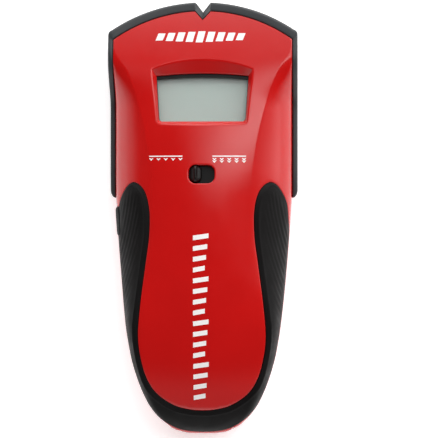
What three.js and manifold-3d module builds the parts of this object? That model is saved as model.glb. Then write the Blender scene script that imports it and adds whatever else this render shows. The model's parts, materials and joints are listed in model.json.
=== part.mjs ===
// Hand-held stud finder: a wide sensing head with a rubber bumper, a display, a mode slider,
// a rubber-gripped handle with a 9 V battery, and the boards inside.
// Millimetres. The tool lies on its back: +Z out of the display face, +Y towards the sensing
// head, +X to the user's right. The origin is under the middle of the tool, on the wall plane.

import * as THREE from 'three';
import { mergeVertices } from 'three/addons/utils/BufferGeometryUtils.js';
import Module from 'manifold-3d';

const wasm = await Module();
wasm.setup();

// ---------------------------------------------------------------- driving dimensions

const LENGTH = 178.1;
const WIDTH = 77.8;
const HEAD_Y = LENGTH / 2;
const TAIL_Y = -LENGTH / 2;
const GAP = 0.3; // between fixed neighbours
const SEAM = 0.2; // visible line between the housings

const BASE_Z = 0.6; // underside of the rear housing, held off the wall by the glide pads
const FLOOR = 2; // rear housing floor thickness
const PARTING_Z = 9;
const CREST_Z = 34; // highest point of the spine
const CREST_Y = -18;
const WALL = 2.2;
const HANDLE_WALL = 3.4; // thicker, because the grip is let into it

const SHELL_HALF = 36.6; // half width of the red housings in the head
const SHOULDER_Y = 10; // the handle narrows below this
const ARC_CENTRE_Y = 22.9; // centre of the head's front arc
const BUMPER_ARC = 66.2; // outer radius of the front arc
const SHELL_ARC = 62.4;
const BUMPER_FOOT_Y = 8.8; // where the bumper's legs end

const NOTCH_SLOPE = 0.74; // half width of the marking notch per millimetre of depth
const NOTCH_APEX_Y = 85.1;
const NOTCH_PEAK_Y = 89.05;
const SHELL_NOTCH_SLOPE = 0.875;
const SHELL_NOTCH_APEX_Y = 81.6;

const DISPLAY_TILT = THREE.MathUtils.degToRad(8.7);
const DISPLAY_Y = 48.8;
const DISPLAY_Z = 26; // floor of the window recess
const WINDOW = { bottom: -9.1, bottomHalf: 17.7, corner: 9.9, cornerHalf: 18.9, apex: 11 };
const GASKET_HOLE = { bottom: -9, bottomHalf: 17.5, corner: 8.6, cornerHalf: 18.6, apex: 9.5 };
const RECESS = { bottom: -11.1, bottomHalf: 18.8, corner: 12.5, cornerHalf: 20.9, apex: 17 };
const RECESS_DEPTH = 2.9;

const SLOT_Y = 18.2;
const SLOT_LENGTH = 10.6;
const SLOT_WIDTH = 7.5;
const SLOT_RADIUS = 2.9;
const SLIDER_TRAVEL = 5; // set by SLOT_LENGTH and the thumb rib
const SLIDER_TILT = THREE.MathUtils.degToRad(4.7);

const BUTTON_Y = -1;
const BUTTON_Z = 17.6;
const BUTTON_LENGTH = 12;
const BUTTON_HEIGHT = 5.4;
const SWITCH_Z = 19.6; // height of the switch plunger that the button pushes

const DOOR_HALF = 14.6;
const DOOR_HINGE_Y = -17;
const DOOR_TAIL_Y = -76;

const BATTERY = { width: 26.5, length: 46.4, height: 17.5, tail: -71.8, bottom: 3.2 };

const HOUSING_SCREWS = [[28, 66], [-28, 66], [28, 20], [-28, 20], [0, -82]];
const BOARD_SCREWS = [[18.5, -21.5], [-18.5, -21.5], [12, -52.4], [-12, -52.4]];
const SENSOR_POSTS = [[18.5, 33], [-18.5, 33], [18.5, 71], [-18.5, 71]];

// ---------------------------------------------------------------- solids and geometries

// A closed geometry as a manifold solid with its faces turned outwards.
function solid(geometry, matrix = new THREE.Matrix4()) {
  const bare = new THREE.BufferGeometry();
  bare.setAttribute('position', geometry.getAttribute('position').clone());
  if (geometry.index) bare.setIndex(geometry.index);
  const merged = mergeVertices(bare.applyMatrix4(matrix), 1e-4);
  const triVerts = new Uint32Array(merged.index.array);
  const vertProperties = merged.attributes.position.array;
  if (signedVolume(vertProperties, triVerts) < 0) triVerts.reverse();
  return new wasm.Manifold(new wasm.Mesh({ numProp: 3, vertProperties, triVerts }));
}

function signedVolume(positions, triangles) {
  const corner = (i) => new THREE.Vector3().fromArray(positions, 3 * triangles[i]);
  let volume = 0;
  for (let i = 0; i < triangles.length; i += 3) {
    volume += corner(i).dot(corner(i + 1).cross(corner(i + 2))) / 6;
  }
  return volume;
}

// The largest body of a cut solid, without the slivers that a cut can leave.
function mainBody(manifold) {
  return manifold.decompose().sort((a, b) => b.volume() - a.volume())[0];
}

function geometryOf(manifold) {
  const { vertProperties, triVerts } = manifold.getMesh();
  const geometry = new THREE.BufferGeometry();
  geometry.setAttribute('position', new THREE.BufferAttribute(new Float32Array(vertProperties), 3));
  geometry.setIndex(new THREE.BufferAttribute(triVerts, 1));
  geometry.computeVertexNormals();
  return geometry;
}

const place = (x, y, z) => new THREE.Matrix4().makeTranslation(x, y, z);

function box(x0, x1, y0, y1, z0, z1) {
  const geometry = new THREE.BoxGeometry(x1 - x0, y1 - y0, z1 - z0);
  return solid(geometry, place((x0 + x1) / 2, (y0 + y1) / 2, (z0 + z1) / 2));
}

// An upright cylinder, or a cone when the radii differ.
function post(x, y, z0, z1, bottomRadius, topRadius = bottomRadius, sides = 20) {
  const geometry = new THREE.CylinderGeometry(topRadius, bottomRadius, z1 - z0, sides);
  geometry.rotateX(Math.PI / 2);
  return solid(geometry, place(x, y, (z0 + z1) / 2));
}

// A cylinder along +Y.
function rod(x, z, y0, y1, radius, sides = 20) {
  const geometry = new THREE.CylinderGeometry(radius, radius, y1 - y0, sides);
  return solid(geometry, place(x, (y0 + y1) / 2, z));
}

function rodAlongX(x0, x1, y, z, radius, sides = 16) {
  const geometry = new THREE.CylinderGeometry(radius, radius, x1 - x0, sides);
  geometry.rotateZ(Math.PI / 2);
  return solid(geometry, place((x0 + x1) / 2, y, z));
}

// A shape in the XY plane, pulled up from z0 to z1.
function prism(shape, z0, z1, curveSegments = 8) {
  const geometry = new THREE.ExtrudeGeometry(shape, {
    depth: z1 - z0,
    bevelEnabled: false,
    curveSegments,
  });
  return solid(geometry, place(0, 0, z0));
}

function roundedRectangle(width, height, radius, x = 0, y = 0) {
  const [w, h, r] = [width / 2, height / 2, radius];
  const shape = new THREE.Shape();
  shape.absarc(x + w - r, y - h + r, r, -Math.PI / 2, 0);
  shape.absarc(x + w - r, y + h - r, r, 0, Math.PI / 2);
  shape.absarc(x - w + r, y + h - r, r, Math.PI / 2, Math.PI);
  shape.absarc(x - w + r, y - h + r, r, Math.PI, 1.5 * Math.PI);
  return shape;
}

// A closed skin through rings with equal point counts, capped at both ends.
function loft(rings) {
  const count = rings[0].length;
  const points = rings.flat();
  const index = [];
  for (let r = 0; r + 1 < rings.length; r += 1) {
    for (let i = 0; i < count; i += 1) {
      const a = r * count + i;
      const b = r * count + ((i + 1) % count);
      index.push(a, b, b + count, a, b + count, a + count);
    }
  }
  const cap = (first, flipped) => {
    const centre = new THREE.Vector3();
    for (let i = 0; i < count; i += 1) centre.addScaledVector(points[first + i], 1 / count);
    points.push(centre);
    for (let i = 0; i < count; i += 1) {
      const a = first + i;
      const b = first + ((i + 1) % count);
      index.push(...(flipped ? [points.length - 1, b, a] : [points.length - 1, a, b]));
    }
  };
  cap(0, true);
  cap((rings.length - 1) * count, false);
  const geometry = new THREE.BufferGeometry().setFromPoints(points);
  geometry.setIndex(index);
  return geometry;
}

// ---------------------------------------------------------------- the body's surface

const { smoothstep, clamp } = THREE.MathUtils;

// Half width of the red housings at their widest height.
function halfWidth(y) {
  if (y >= SHOULDER_Y) return SHELL_HALF;
  const u = Math.min((SHOULDER_Y - y) / (SHOULDER_Y - TAIL_Y), 1);
  const waist = 1 - 0.027 * Math.sin(Math.PI * Math.min(u / 0.69, 1));
  return SHELL_HALF * Math.cbrt(1 - u * u) * waist;
}

// Height of the spine ahead of its crest.
function headHeight(y) {
  return CREST_Z - 0.00115 * (y - CREST_Y) ** 2;
}

// Height at which the housings are widest: low on the handle, close under the spine at the head's front.
function edgeHeight(y) {
  const side = 12 + 2 * smoothstep(y, 0, 20);
  return side + (headHeight(y) - RIM_DROP - side) * smoothstep(y, 46, 67);
}

// Height of the spine along the middle.
function spineHeight(y) {
  if (y >= CREST_Y) return headHeight(y);
  const u = Math.min((CREST_Y - y) / (CREST_Y - TAIL_Y), 1);
  return edgeHeight(y) + (CREST_Z - edgeHeight(y)) * (1 - u ** 2.6) ** (1 / 2.2);
}

// Distance from the middle to the crease that edges the spine.
function creaseHalf(y) {
  const u = clamp((y + 5) / 78, 0, 1.25);
  return 19.3 + 17 * u ** 2.3 + 2 * smoothstep(y, 60, 69) + 8 * smoothstep(-y, 4, 50);
}

const CROWN = 0.1; // share of the height lost between the middle and the crease
const RIM_DROP = 0.3; // from the spine down to the head's edge at its front
const SECTION_INNER = 4;
const SECTION_OUTER = 9;

// One cross-section, as [x, z] from the top middle round the right side to the bottom middle.
// inset moves the skin inwards; near the tail it moves along Y instead of across.
function halfSection(y, inset) {
  const tail = smoothstep(-y, 60, 86);
  const at = Math.max(y - inset * tail, TAIL_Y);
  const half = Math.max(halfWidth(at) - inset * (1 - tail), 0.8);
  const edge = edgeHeight(at) - inset * smoothstep(at, 46, 67);
  const top = Math.max(spineHeight(at) - inset, edge + RIM_DROP);
  const crease = Math.min(creaseHalf(at), (0.84 + 0.15 * smoothstep(at, 10, 66)) * half);
  const even = (2 * CROWN / (1 - CROWN)) * (half / crease - 1);
  const sharpness = even + (0.36 - even) * smoothstep(y, 0, 35);
  const points = [];
  for (let i = 0; i < SECTION_INNER; i += 1) {
    const u = i / SECTION_INNER;
    points.push([crease * u, edge + (top - edge) * (1 - CROWN * u * u)]);
  }
  for (let i = 0; i <= SECTION_OUTER; i += 1) {
    const angle = (Math.PI / 2) * (i / SECTION_OUTER);
    const drop = sharpness * Math.sin(angle) + (1 - sharpness) * (1 - Math.cos(angle));
    const x = crease + (half - crease) * Math.sin(angle);
    points.push([x, edge + (top - edge) * (1 - CROWN) * (1 - drop)]);
  }
  const base = BASE_Z + Math.min(inset, FLOOR);
  points.push([half - 0.12, PARTING_Z]);
  points.push([half - 0.5, base + 2.6]);
  points.push([Math.max(half - 1.2, 0.4), base + 0.9]);
  points.push([Math.max(half - 2.6, 0.3), base]);
  points.push([0, base]);
  return points;
}

// The whole body inside its red skin, from the tail to past the front of the head.
function bodySolid(inset = 0, stations = 20) {
  const length = HEAD_Y + 6 - TAIL_Y - inset;
  const rings = [];
  for (let i = 0; i <= stations; i += 1) {
    const y = TAIL_Y + inset + 0.01 + length * (1 - Math.cos((Math.PI / 2) * (i / stations)));
    const right = halfSection(y, inset);
    const left = right.slice(1, -1).reverse().map(([x, z]) => [-x, z]);
    rings.push([...right, ...left].map(([x, z]) => new THREE.Vector3(x, y, z)));
  }
  return solid(loft(rings));
}

// Plan outline of the head: straight sides, a front arc, and the marking notch.
function headPlan({ half, arc, slope, apex, lowY, foot = 0 }) {
  const reach = Math.acos(half / arc);
  const peak = (arc + ARC_CENTRE_Y - apex) * slope; // notch half width where it meets the arc
  const open = Math.acos(peak / arc);
  const shape = new THREE.Shape();
  shape.moveTo(foot - half, lowY);
  shape.lineTo(half - foot, lowY);
  if (foot > 0) shape.quadraticCurveTo(half, lowY + 0.3 * foot, half, lowY + 1.5 * foot);
  shape.absarc(0, ARC_CENTRE_Y, arc, reach + 0.02, open);
  shape.lineTo(0, apex);
  shape.absarc(0, ARC_CENTRE_Y, arc, Math.PI - open, Math.PI - reach - 0.02);
  if (foot > 0) {
    shape.lineTo(-half, lowY + 1.5 * foot);
    shape.quadraticCurveTo(-half, lowY + 0.3 * foot, foot - half, lowY);
  }
  return shape;
}

function shellPlan(inset = 0) {
  return headPlan({
    half: SHELL_HALF - inset,
    arc: SHELL_ARC - inset,
    slope: SHELL_NOTCH_SLOPE,
    apex: SHELL_NOTCH_APEX_Y - 1.5 * inset,
    lowY: TAIL_Y - 5,
  });
}

const PLAN_SEGMENTS = 10;
const SKY = 60; // above everything, for cutters

const shellPrism = (inset, z0, z1) => prism(shellPlan(inset), z0, z1, PLAN_SEGMENTS);

// Everything inside the red skin, and the hollow that both housings share.
const envelope = bodySolid().intersect(shellPrism(0, -1, SKY));
const thinShell = bodySolid(WALL, 16);
const thickShell = bodySolid(HANDLE_WALL, 16);
const floorTop = BASE_Z + FLOOR;
const hollow = thinShell
  .intersect(box(-50, 50, 14, 100, -1, SKY))
  .add(thickShell.intersect(box(-50, 50, -100, 18, floorTop, SKY)))
  .intersect(shellPrism(WALL, floorTop, SKY));

// ---------------------------------------------------------------- the tilted display frame

const displayFrame = new THREE.Matrix4()
  .makeTranslation(0, DISPLAY_Y, DISPLAY_Z)
  .multiply(new THREE.Matrix4().makeRotationX(-DISPLAY_TILT));

// The display frame's y of a point that lies at y in the part's frame and at height z above the display.
function displayY(y, z) {
  return (y - DISPLAY_Y - z * Math.sin(DISPLAY_TILT)) / Math.cos(DISPLAY_TILT);
}

const FRAME_BOTTOM = -1; // underside of the housing round the window
const GASKET = { top: -1.1, bottom: -1.5 };
const LENS = { top: -1.6, bottom: -3.1 };
const LCD = { top: -3.1, thickness: 2.4, width: 42, height: 25 };
const HOLDER = { top: -2.9, width: 46, height: 29 };
const BOARD = { top: -10.2, thickness: 1.6 };
const BOARD_BOTTOM = BOARD.top - BOARD.thickness;

// A window with straight sides, rounded lower corners and an arched top.
function arched({ bottom, bottomHalf, corner, cornerHalf, apex: top }, grow = 0) {
  const radius = 1.6;
  const [low, high] = [bottom - grow, corner + grow];
  const [lowHalf, highHalf] = [bottomHalf + grow, cornerHalf + grow];
  const apex = top + grow;
  const shape = new THREE.Shape();
  shape.moveTo(-lowHalf + radius, low);
  shape.lineTo(lowHalf - radius, low);
  shape.quadraticCurveTo(lowHalf, low, lowHalf + 0.08, low + radius);
  shape.lineTo(highHalf, high);
  shape.quadraticCurveTo(0, 2 * apex - high, -highHalf, high);
  shape.lineTo(-lowHalf - 0.08, low + radius);
  shape.quadraticCurveTo(-lowHalf, low, -lowHalf + radius, low);
  return shape;
}

// Window outline part way between the lens opening (share 0) and the recess's lip (share 1).
function windowOutline(share) {
  const mix = (key) => [key, THREE.MathUtils.lerp(WINDOW[key], RECESS[key], share)];
  return arched(Object.fromEntries(Object.keys(WINDOW).map(mix)));
}

// The recess cut into the front housing: flared from the lens opening to past the skin.
function recessCutter() {
  const ring = (share, z) => {
    const points = windowOutline(share).getPoints(10).slice(0, -1);
    return points.map((p) => new THREE.Vector3(p.x, p.y, z));
  };
  const flare = 2;
  const rings = [ring(0, FRAME_BOTTOM - 0.6), ring(0, 0), ring(flare, flare * RECESS_DEPTH)];
  return solid(loft(rings), displayFrame);
}

const inDisplay = (manifold) => solid(geometryOf(manifold), displayFrame);

// ---------------------------------------------------------------- red housings

// Inner edge of the grip, from its tip down the handle to the middle of the tail band.
const GRIP_INNER = [
  [28, 15.1],
  [23.6, 11.2],
  [21.3, 1],
  [22.4, -15],
  [25, -35],
  [26, -47],
  [25.2, -56],
  [22.6, -65],
  [18.4, -71.6],
  [11, -76.6],
  [0, -78.4],
];
// Outer edge, from just below the tip to where it runs along the side of the handle.
const GRIP_OUTER = [[35.1, -2], [34.7, 5], [32.6, 11.2]];
const GRIP_DEPTH = 1.6;
const GRIP_PROUD = 0.4;

// How far the grip's outer edge stays inside the plan of the body.
function gripMargin(y) {
  return 0.25 + 0.9 * smoothstep(-y, 76, 88);
}

// Plan outline of the U-shaped grip; grow widens it all round.
function gripPlan(grow = 0) {
  const innerPoints = GRIP_INNER.map(([x, y]) => new THREE.Vector2(x - grow, y + 0.6 * grow));
  const innerEdge = new THREE.SplineCurve(innerPoints).getPoints(22);
  innerEdge[innerEdge.length - 1].x = 0;
  const low = TAIL_Y + gripMargin(TAIL_Y) - grow;
  const high = GRIP_OUTER[0][1] - 3;
  const outerEdge = [];
  for (let i = 0; i <= 16; i += 1) {
    const y = low + (high - low) * (1 - Math.cos((Math.PI / 2) * (i / 16)));
    const margin = gripMargin(y) - grow;
    outerEdge.push(new THREE.Vector2(Math.max(halfWidth(y - margin) - margin, 0), y));
  }
  const shoulderPoints = [...GRIP_OUTER, GRIP_INNER[0]];
  const grown = shoulderPoints.map(([x, y]) => new THREE.Vector2(x + grow, y + grow));
  const shoulder = new THREE.SplineCurve(grown).getPoints(8);
  const right = [...outerEdge, ...shoulder.slice(1), ...innerEdge.slice(1, -1)];
  const left = right.map((p) => new THREE.Vector2(-p.x, p.y)).reverse();
  return new THREE.Shape([...right, innerEdge[innerEdge.length - 1], ...left]);
}

// A stadium-shaped rod along X that follows the power button's outline.
function buttonRod(x0, x1, grow = 0) {
  const shape = roundedRectangle(BUTTON_LENGTH + 2 * grow, BUTTON_HEIGHT + 2 * grow, 2.6 + grow);
  const toX = new THREE.Matrix4().set(0, 0, 1, x0, 1, 0, 0, BUTTON_Y, 0, 1, 0, BUTTON_Z, 0, 0, 0, 1);
  return solid(geometryOf(prism(shape, 0, x1 - x0, 5)), toX);
}

function frontHousing() {
  const bosses = HOUSING_SCREWS.map(([x, y]) => post(x, y, PARTING_Z + SEAM, SKY, 3.2, 3.6));
  const boardBosses = BOARD_SCREWS.map(([x, y]) => inDisplay(post(x, y, BOARD.top + GAP, 30, 2.2, 2.4, 14)));
  const windowFrame = inDisplay(box(-24, 24, -14.5, 18.5, FRAME_BOTTOM, 8));
  const filling = [...bosses, ...boardBosses, windowFrame].reduce((a, b) => a.add(b));
  let shell = envelope.subtract(hollow).add(filling.intersect(bodySolid(1, 16)));
  shell = shell.intersect(shellPrism(0.01, PARTING_Z + SEAM, SKY));
  const gripSeat = prism(gripPlan(0.15), 0, SKY, 1).subtract(bodySolid(GRIP_DEPTH + 0.2));
  shell = shell.subtract(gripSeat).subtract(recessCutter());
  const slot = roundedRectangle(SLOT_LENGTH, SLOT_WIDTH, SLOT_RADIUS, 0, SLOT_Y);
  shell = shell.subtract(prism(slot, 20, SKY, 5));
  shell = shell.subtract(buttonRod(-50, -20, GAP));
  const platePocket = solid(geometryOf(box(-11.4, 11.4, -5.6, 5.6, -4, -0.2)), slotFrame);
  shell = shell.subtract(platePocket);
  shell = shell.subtract(rod(0, 12, 60, 95, 1.8));
  HOUSING_SCREWS.forEach(([x, y]) => {
    shell = shell.subtract(post(x, y, 0, 18.6, 1.55));
  });
  BOARD_SCREWS.forEach(([x, y]) => {
    shell = shell.subtract(inDisplay(post(x, y, -20, BOARD.top + 4, 1.1, 1.1, 12)));
  });
  return shell;
}

function rearHousing() {
  let shell = envelope.subtract(hollow).intersect(box(-50, 50, -100, 100, -1, PARTING_Z));
  const opening = roundedRectangle(2 * DOOR_HALF + 0.5, DOOR_HINGE_Y - DOOR_TAIL_Y + 0.5, 2.2, 0,
    (DOOR_HINGE_Y + DOOR_TAIL_Y) / 2);
  const bay = box(-16.2, 16.2, DOOR_TAIL_Y - 1.4, -16, floorTop - 0.1, 13)
    .subtract(box(-15, 15, DOOR_TAIL_Y - 0.3, -15, floorTop - 1, 14));
  const pillars = HOUSING_SCREWS.map(([x, y]) => post(x, y, BASE_Z + 0.4, PARTING_Z - 0.1, 4.8, 4.2));
  const posts = SENSOR_POSTS.map(([x, y]) => post(x, y, floorTop - 0.1, 3.5, 2.2, 2, 14));
  const buzzerRing = post(0, 8, floorTop - 0.1, 3.5, 9, 9, 28).subtract(post(0, 8, 0, 5, 7.6, 7.6, 28));
  [bay, ...pillars, ...posts, buzzerRing].forEach((extra) => {
    shell = shell.add(extra);
  });
  shell = shell.subtract(prism(opening, -1, floorTop + 0.5, 5));
  HOUSING_SCREWS.forEach(([x, y]) => {
    shell = shell.subtract(post(x, y, 0, 20, 1.55)).subtract(post(x, y, 0, 3.6, 3.1, 3.1, 24));
  });
  SENSOR_POSTS.slice(0, 2).forEach(([x, y]) => {
    shell = shell.subtract(post(x, y, 1.6, 10, 0.9, 0.9, 12));
  });
  return shell;
}

// Dark rubber U round the head, flush with the red skin at the front and low along the sides.
function headBumper() {
  const half = WIDTH / 2;
  const rings = [];
  const stations = 16;
  for (let i = 0; i <= stations; i += 1) {
    const y = BUMPER_FOOT_Y - 2 + (HEAD_Y + 4 - BUMPER_FOOT_Y) * (i / stations);
    const skin = halfSection(y, -0.15).slice(0, SECTION_INNER + SECTION_OUTER + 1);
    const edge = skin[skin.length - 1][1];
    const side = [[half - 0.9, edge - 0.1], [half, edge - 1.1], [half, 4], [half - 0.9, 3], [0, 3]];
    const right = [...skin, ...side];
    const left = right.slice(1, -1).reverse().map(([x, z]) => [-x, z]);
    rings.push([...right, ...left].map(([x, z]) => new THREE.Vector3(x, y, z)));
  }
  const outer = headPlan({
    half,
    arc: BUMPER_ARC,
    slope: NOTCH_SLOPE,
    apex: NOTCH_APEX_Y,
    lowY: BUMPER_FOOT_Y,
    foot: 2,
  });
  return solid(loft(rings))
    .intersect(prism(outer, 0, SKY, PLAN_SEGMENTS))
    .subtract(shellPrism(-0.2, -1, SKY + 1))
    .subtract(rod(0, 12, 60, 95, 1.8));
}

function gripOvermould() {
  return bodySolid(-GRIP_PROUD)
    .subtract(bodySolid(GRIP_DEPTH))
    .intersect(prism(gripPlan(), PARTING_Z + 1.5, SKY, 1))
    .subtract(buttonRod(-50, -20, GAP));
}

// ---------------------------------------------------------------- display stack

// Black seal between the housing and the lens; it shows as a dark band under the brow.
function displayGasket() {
  return prism(arched(WINDOW, 1.8), GASKET.bottom, GASKET.top, 8)
    .subtract(prism(arched(GASKET_HOLE), -5, 5, 8));
}

function displayLens() {
  return prism(arched(WINDOW, 2.2), LENS.bottom, LENS.top, 8);
}

function lcdPanel() {
  const [halfLength, halfHeight] = [LCD.width / 2, LCD.height / 2];
  return box(-halfLength, halfLength, -halfHeight, halfHeight, LCD.top - LCD.thickness, LCD.top - 0.1);
}

function lcdHolder() {
  const { width, height, top } = HOLDER;
  const outer = prism(roundedRectangle(width, height, 1.5), BOARD.top + GAP, top - GAP, 3);
  const pocket = box(-LCD.width / 2 - GAP, LCD.width / 2 + GAP, -LCD.height / 2 - GAP, LCD.height / 2 + GAP,
    LCD.top - LCD.thickness - GAP, 5);
  const middle = box(-19.5, 19.5, -8.6, 8.6, -20, 5);
  const stripSlot = (y) => box(-19.5, 19.5, y - 1.4, y + 1.4, -20, 5);
  return outer.subtract(pocket).subtract(middle).subtract(stripSlot(10.5)).subtract(stripSlot(-10.5));
}

function elastomerStrip(y) {
  return box(-19, 19, y - 1.1, y + 1.1, BOARD.top + 0.1, LCD.top - LCD.thickness - 0.1);
}

function displayBoard() {
  const shape = new THREE.Shape();
  shape.moveTo(-25, 17);
  shape.lineTo(-25, -17);
  shape.lineTo(-17.5, -24);
  shape.lineTo(-17.5, -57);
  shape.lineTo(17.5, -57);
  shape.lineTo(17.5, -24);
  shape.lineTo(25, -17);
  shape.lineTo(25, 17);
  let board = prism(shape, BOARD_BOTTOM, BOARD.top);
  BOARD_SCREWS.forEach(([x, y]) => {
    board = board.subtract(post(x, y, -20, 0, 1.4, 1.4, 12));
  });
  return board;
}

function boardScrew(x, y) {
  return post(x, y, BOARD_BOTTOM - 1.5, BOARD_BOTTOM - 0.1, 1.7, 1.9, 12)
    .add(post(x, y, BOARD_BOTTOM - 0.2, BOARD.top + 3.4, 0.8, 0.8, 10))
    .subtract(box(x - 0.25, x + 0.25, y - 1.4, y + 1.4, BOARD_BOTTOM - 3, BOARD_BOTTOM - 1));
}

// ---------------------------------------------------------------- mode slider and switch

const slotFrame = new THREE.Matrix4()
  .makeTranslation(0, SLOT_Y, spineHeight(SLOT_Y) - WALL)
  .multiply(new THREE.Matrix4().makeRotationX(-SLIDER_TILT));
const sliderFrame = place(-SLIDER_TRAVEL / 2, 0, 0).multiply(slotFrame);

const KNOB_HOLLOW = 3.4; // radius of the two hollows that leave the knob's crest

// Plate under the slot, a knob with a crest between two hollows, and a fork for the switch lever.
function modeSlider() {
  const plate = prism(roundedRectangle(16.4, 10.4, 2), -1.7, -0.5, 4);
  let rib = prism(roundedRectangle(4.6, 6.5, 1.9), -0.7, 3.2, 5);
  const scoop = new THREE.CylinderGeometry(KNOB_HOLLOW, KNOB_HOLLOW, 12, 36);
  [-KNOB_HOLLOW, KNOB_HOLLOW].forEach((x) => {
    rib = rib.subtract(solid(scoop, place(x, 0, KNOB_HOLLOW + 1.2)));
  });
  const fork = box(-2.6, -1.4, -1.6, 1.6, -4.4, -1.5).add(box(1.4, 2.6, -1.6, 1.6, -4.4, -1.5));
  return plate.add(rib).add(fork);
}

function modeSwitchBody() {
  const y = displayY(SLOT_Y - 0.4, BOARD.top + 3);
  return box(-8, 8, y - 3.2, y + 3.2, BOARD.top + 0.1, BOARD.top + 4.6)
    .subtract(box(-4.4, 4.4, y - 1.4, y + 1.4, BOARD.top + 1.6, 0));
}

// ---------------------------------------------------------------- power button and switch

// A curved plug through the grip and the wall, with a flange behind the wall and a nib on the switch.
function powerButton() {
  const plug = buttonRod(-50, -15).intersect(bodySolid(-0.5));
  const flange = buttonRod(-50, -15, 1.2).intersect(bodySolid(HANDLE_WALL + GAP));
  const nib = rodAlongX(-29.6, -23.7, BUTTON_Y, SWITCH_Z, 1.3);
  return plug.add(flange).subtract(bodySolid(HANDLE_WALL + 1.3)).add(nib);
}

function powerSwitchBody() {
  return box(-21.6, -17, BUTTON_Y - 3, BUTTON_Y + 3, SWITCH_Z - 3, SWITCH_Z + 1.5)
    .subtract(rodAlongX(-22, -18.6, BUTTON_Y, SWITCH_Z, 1.3));
}

// ---------------------------------------------------------------- battery and its door

const batteryMiddleZ = BATTERY.bottom + BATTERY.height / 2;
const batteryHeadY = BATTERY.tail + BATTERY.length;
const snapY = batteryHeadY + 2.9;
const SNAP_THICKNESS = 3.4;

// A rounded block along +Y, centred on the battery's axis.
function blockAlongBattery(width, height, radius, y0, length) {
  const toY = new THREE.Matrix4().set(1, 0, 0, 0, 0, 0, 1, y0, 0, -1, 0, batteryMiddleZ, 0, 0, 0, 1);
  return solid(geometryOf(prism(roundedRectangle(width, height, radius), 0, length, 4)), toY);
}

function batteryTerminal(x, radius, sides) {
  const stud = rod(x, batteryMiddleZ, batteryHeadY + 0.1, batteryHeadY + 2.6, radius, sides);
  return stud.subtract(rod(x, batteryMiddleZ, batteryHeadY + 0.9, batteryHeadY + 4, radius - 0.9, sides));
}

// A plate with two hooks at its hinge end, a latch tab and a ribbed thumb recess at its tail end.
function batteryDoor() {
  const middle = (DOOR_HINGE_Y + DOOR_TAIL_Y) / 2;
  const scoopY = DOOR_TAIL_Y + 8;
  const outline = roundedRectangle(2 * DOOR_HALF, DOOR_HINGE_Y - DOOR_TAIL_Y, 2, 0, middle);
  let door = prism(outline, BASE_Z, floorTop, 5)
    .subtract(prism(roundedRectangle(18, 9, 3, 0, scoopY), BASE_Z - 1, BASE_Z + 0.7, 5))
    .add(box(-6, 6, DOOR_TAIL_Y + 0.4, DOOR_TAIL_Y + 1.6, BASE_Z + 1, 7));
  [-9, 9].forEach((x) => {
    const neck = box(x - 2.5, x + 2.5, DOOR_HINGE_Y - 3, DOOR_HINGE_Y - 0.2, BASE_Z + 1, 4.2);
    const hook = box(x - 2.5, x + 2.5, DOOR_HINGE_Y - 1, DOOR_HINGE_Y + 2, floorTop + 0.4, 4.2);
    door = door.add(neck).add(hook);
  });
  [-2.4, 0, 2.4].forEach((step) => {
    door = door.add(box(-6, 6, scoopY + step - 0.5, scoopY + step + 0.5, BASE_Z, BASE_Z + 1.2));
  });
  return door;
}

// A round wire along a smooth path.
function wire(points, radius) {
  const section = new THREE.Shape();
  section.absarc(0, 0, radius, 0, 2 * Math.PI);
  const path = new THREE.CatmullRomCurve3(points.map(([x, y, z]) => new THREE.Vector3(x, y, z)));
  return solid(new THREE.ExtrudeGeometry(section, {
    steps: 14,
    bevelEnabled: false,
    curveSegments: 4,
    extrudePath: path,
  }));
}

// ---------------------------------------------------------------- sensing parts

const SENSOR_TOP = 5.1;
const SENSOR_BOTTOM = 3.6;

function sensorBoard() {
  let board = prism(roundedRectangle(42, 48, 1.5, 0, 52.5), SENSOR_BOTTOM, SENSOR_TOP, 3);
  SENSOR_POSTS.slice(0, 2).forEach(([x, y]) => {
    board = board.subtract(post(x, y, 0, 10, 1.3, 1.3, 12));
  });
  return board;
}

function sensorScrew(x, y) {
  const head = post(x, y, SENSOR_TOP + 0.1, SENSOR_TOP + 1.3, 1.9, 1.7, 12);
  return head.add(post(x, y, 2.2, SENSOR_TOP + 0.2, 0.7, 0.7, 10));
}

// Flat ribbon in the YZ plane: leaves the sensor board, loops up and meets the display board.
function ribbonCable(from, to) {
  const thickness = 0.3;
  const path = new THREE.SplineCurve([
    new THREE.Vector2(from[0], from[1]),
    new THREE.Vector2(from[0] - 4, from[1] + 0.1),
    new THREE.Vector2(from[0] - 9, (from[1] + to[1]) / 2),
    new THREE.Vector2(to[0] - 3.6, to[1] - 0.3),
    new THREE.Vector2(to[0], to[1]),
  ]).getPoints(20);
  const shifted = path.map((p, i) => {
    const before = path[Math.max(i - 1, 0)];
    const after = path[Math.min(i + 1, path.length - 1)];
    const along = after.clone().sub(before).normalize();
    return new THREE.Vector2(p.x - along.y * thickness, p.y + along.x * thickness);
  });
  const shape = new THREE.Shape([...path, ...shifted.reverse()]);
  const geometry = new THREE.ExtrudeGeometry(shape, { depth: 12, bevelEnabled: false });
  const turn = new THREE.Matrix4().set(0, 0, 1, -6, 1, 0, 0, 0, 0, 1, 0, 0, 0, 0, 0, 1);
  return solid(geometry, turn);
}

function pointerLed() {
  const body = rod(0, 12, 72.5, 76, 1.5).add(rod(0, 12, 71.7, 72.6, 1.9));
  const dome = solid(new THREE.SphereGeometry(1.5, 16, 8), place(0, 76, 12));
  const leads = [-0.8, 0.8].map((x) => box(x - 0.25, x + 0.25, 71.3, 71.8, SENSOR_TOP + 0.05, 12.3));
  return body.add(dome).add(leads[0]).add(leads[1]);
}

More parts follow.
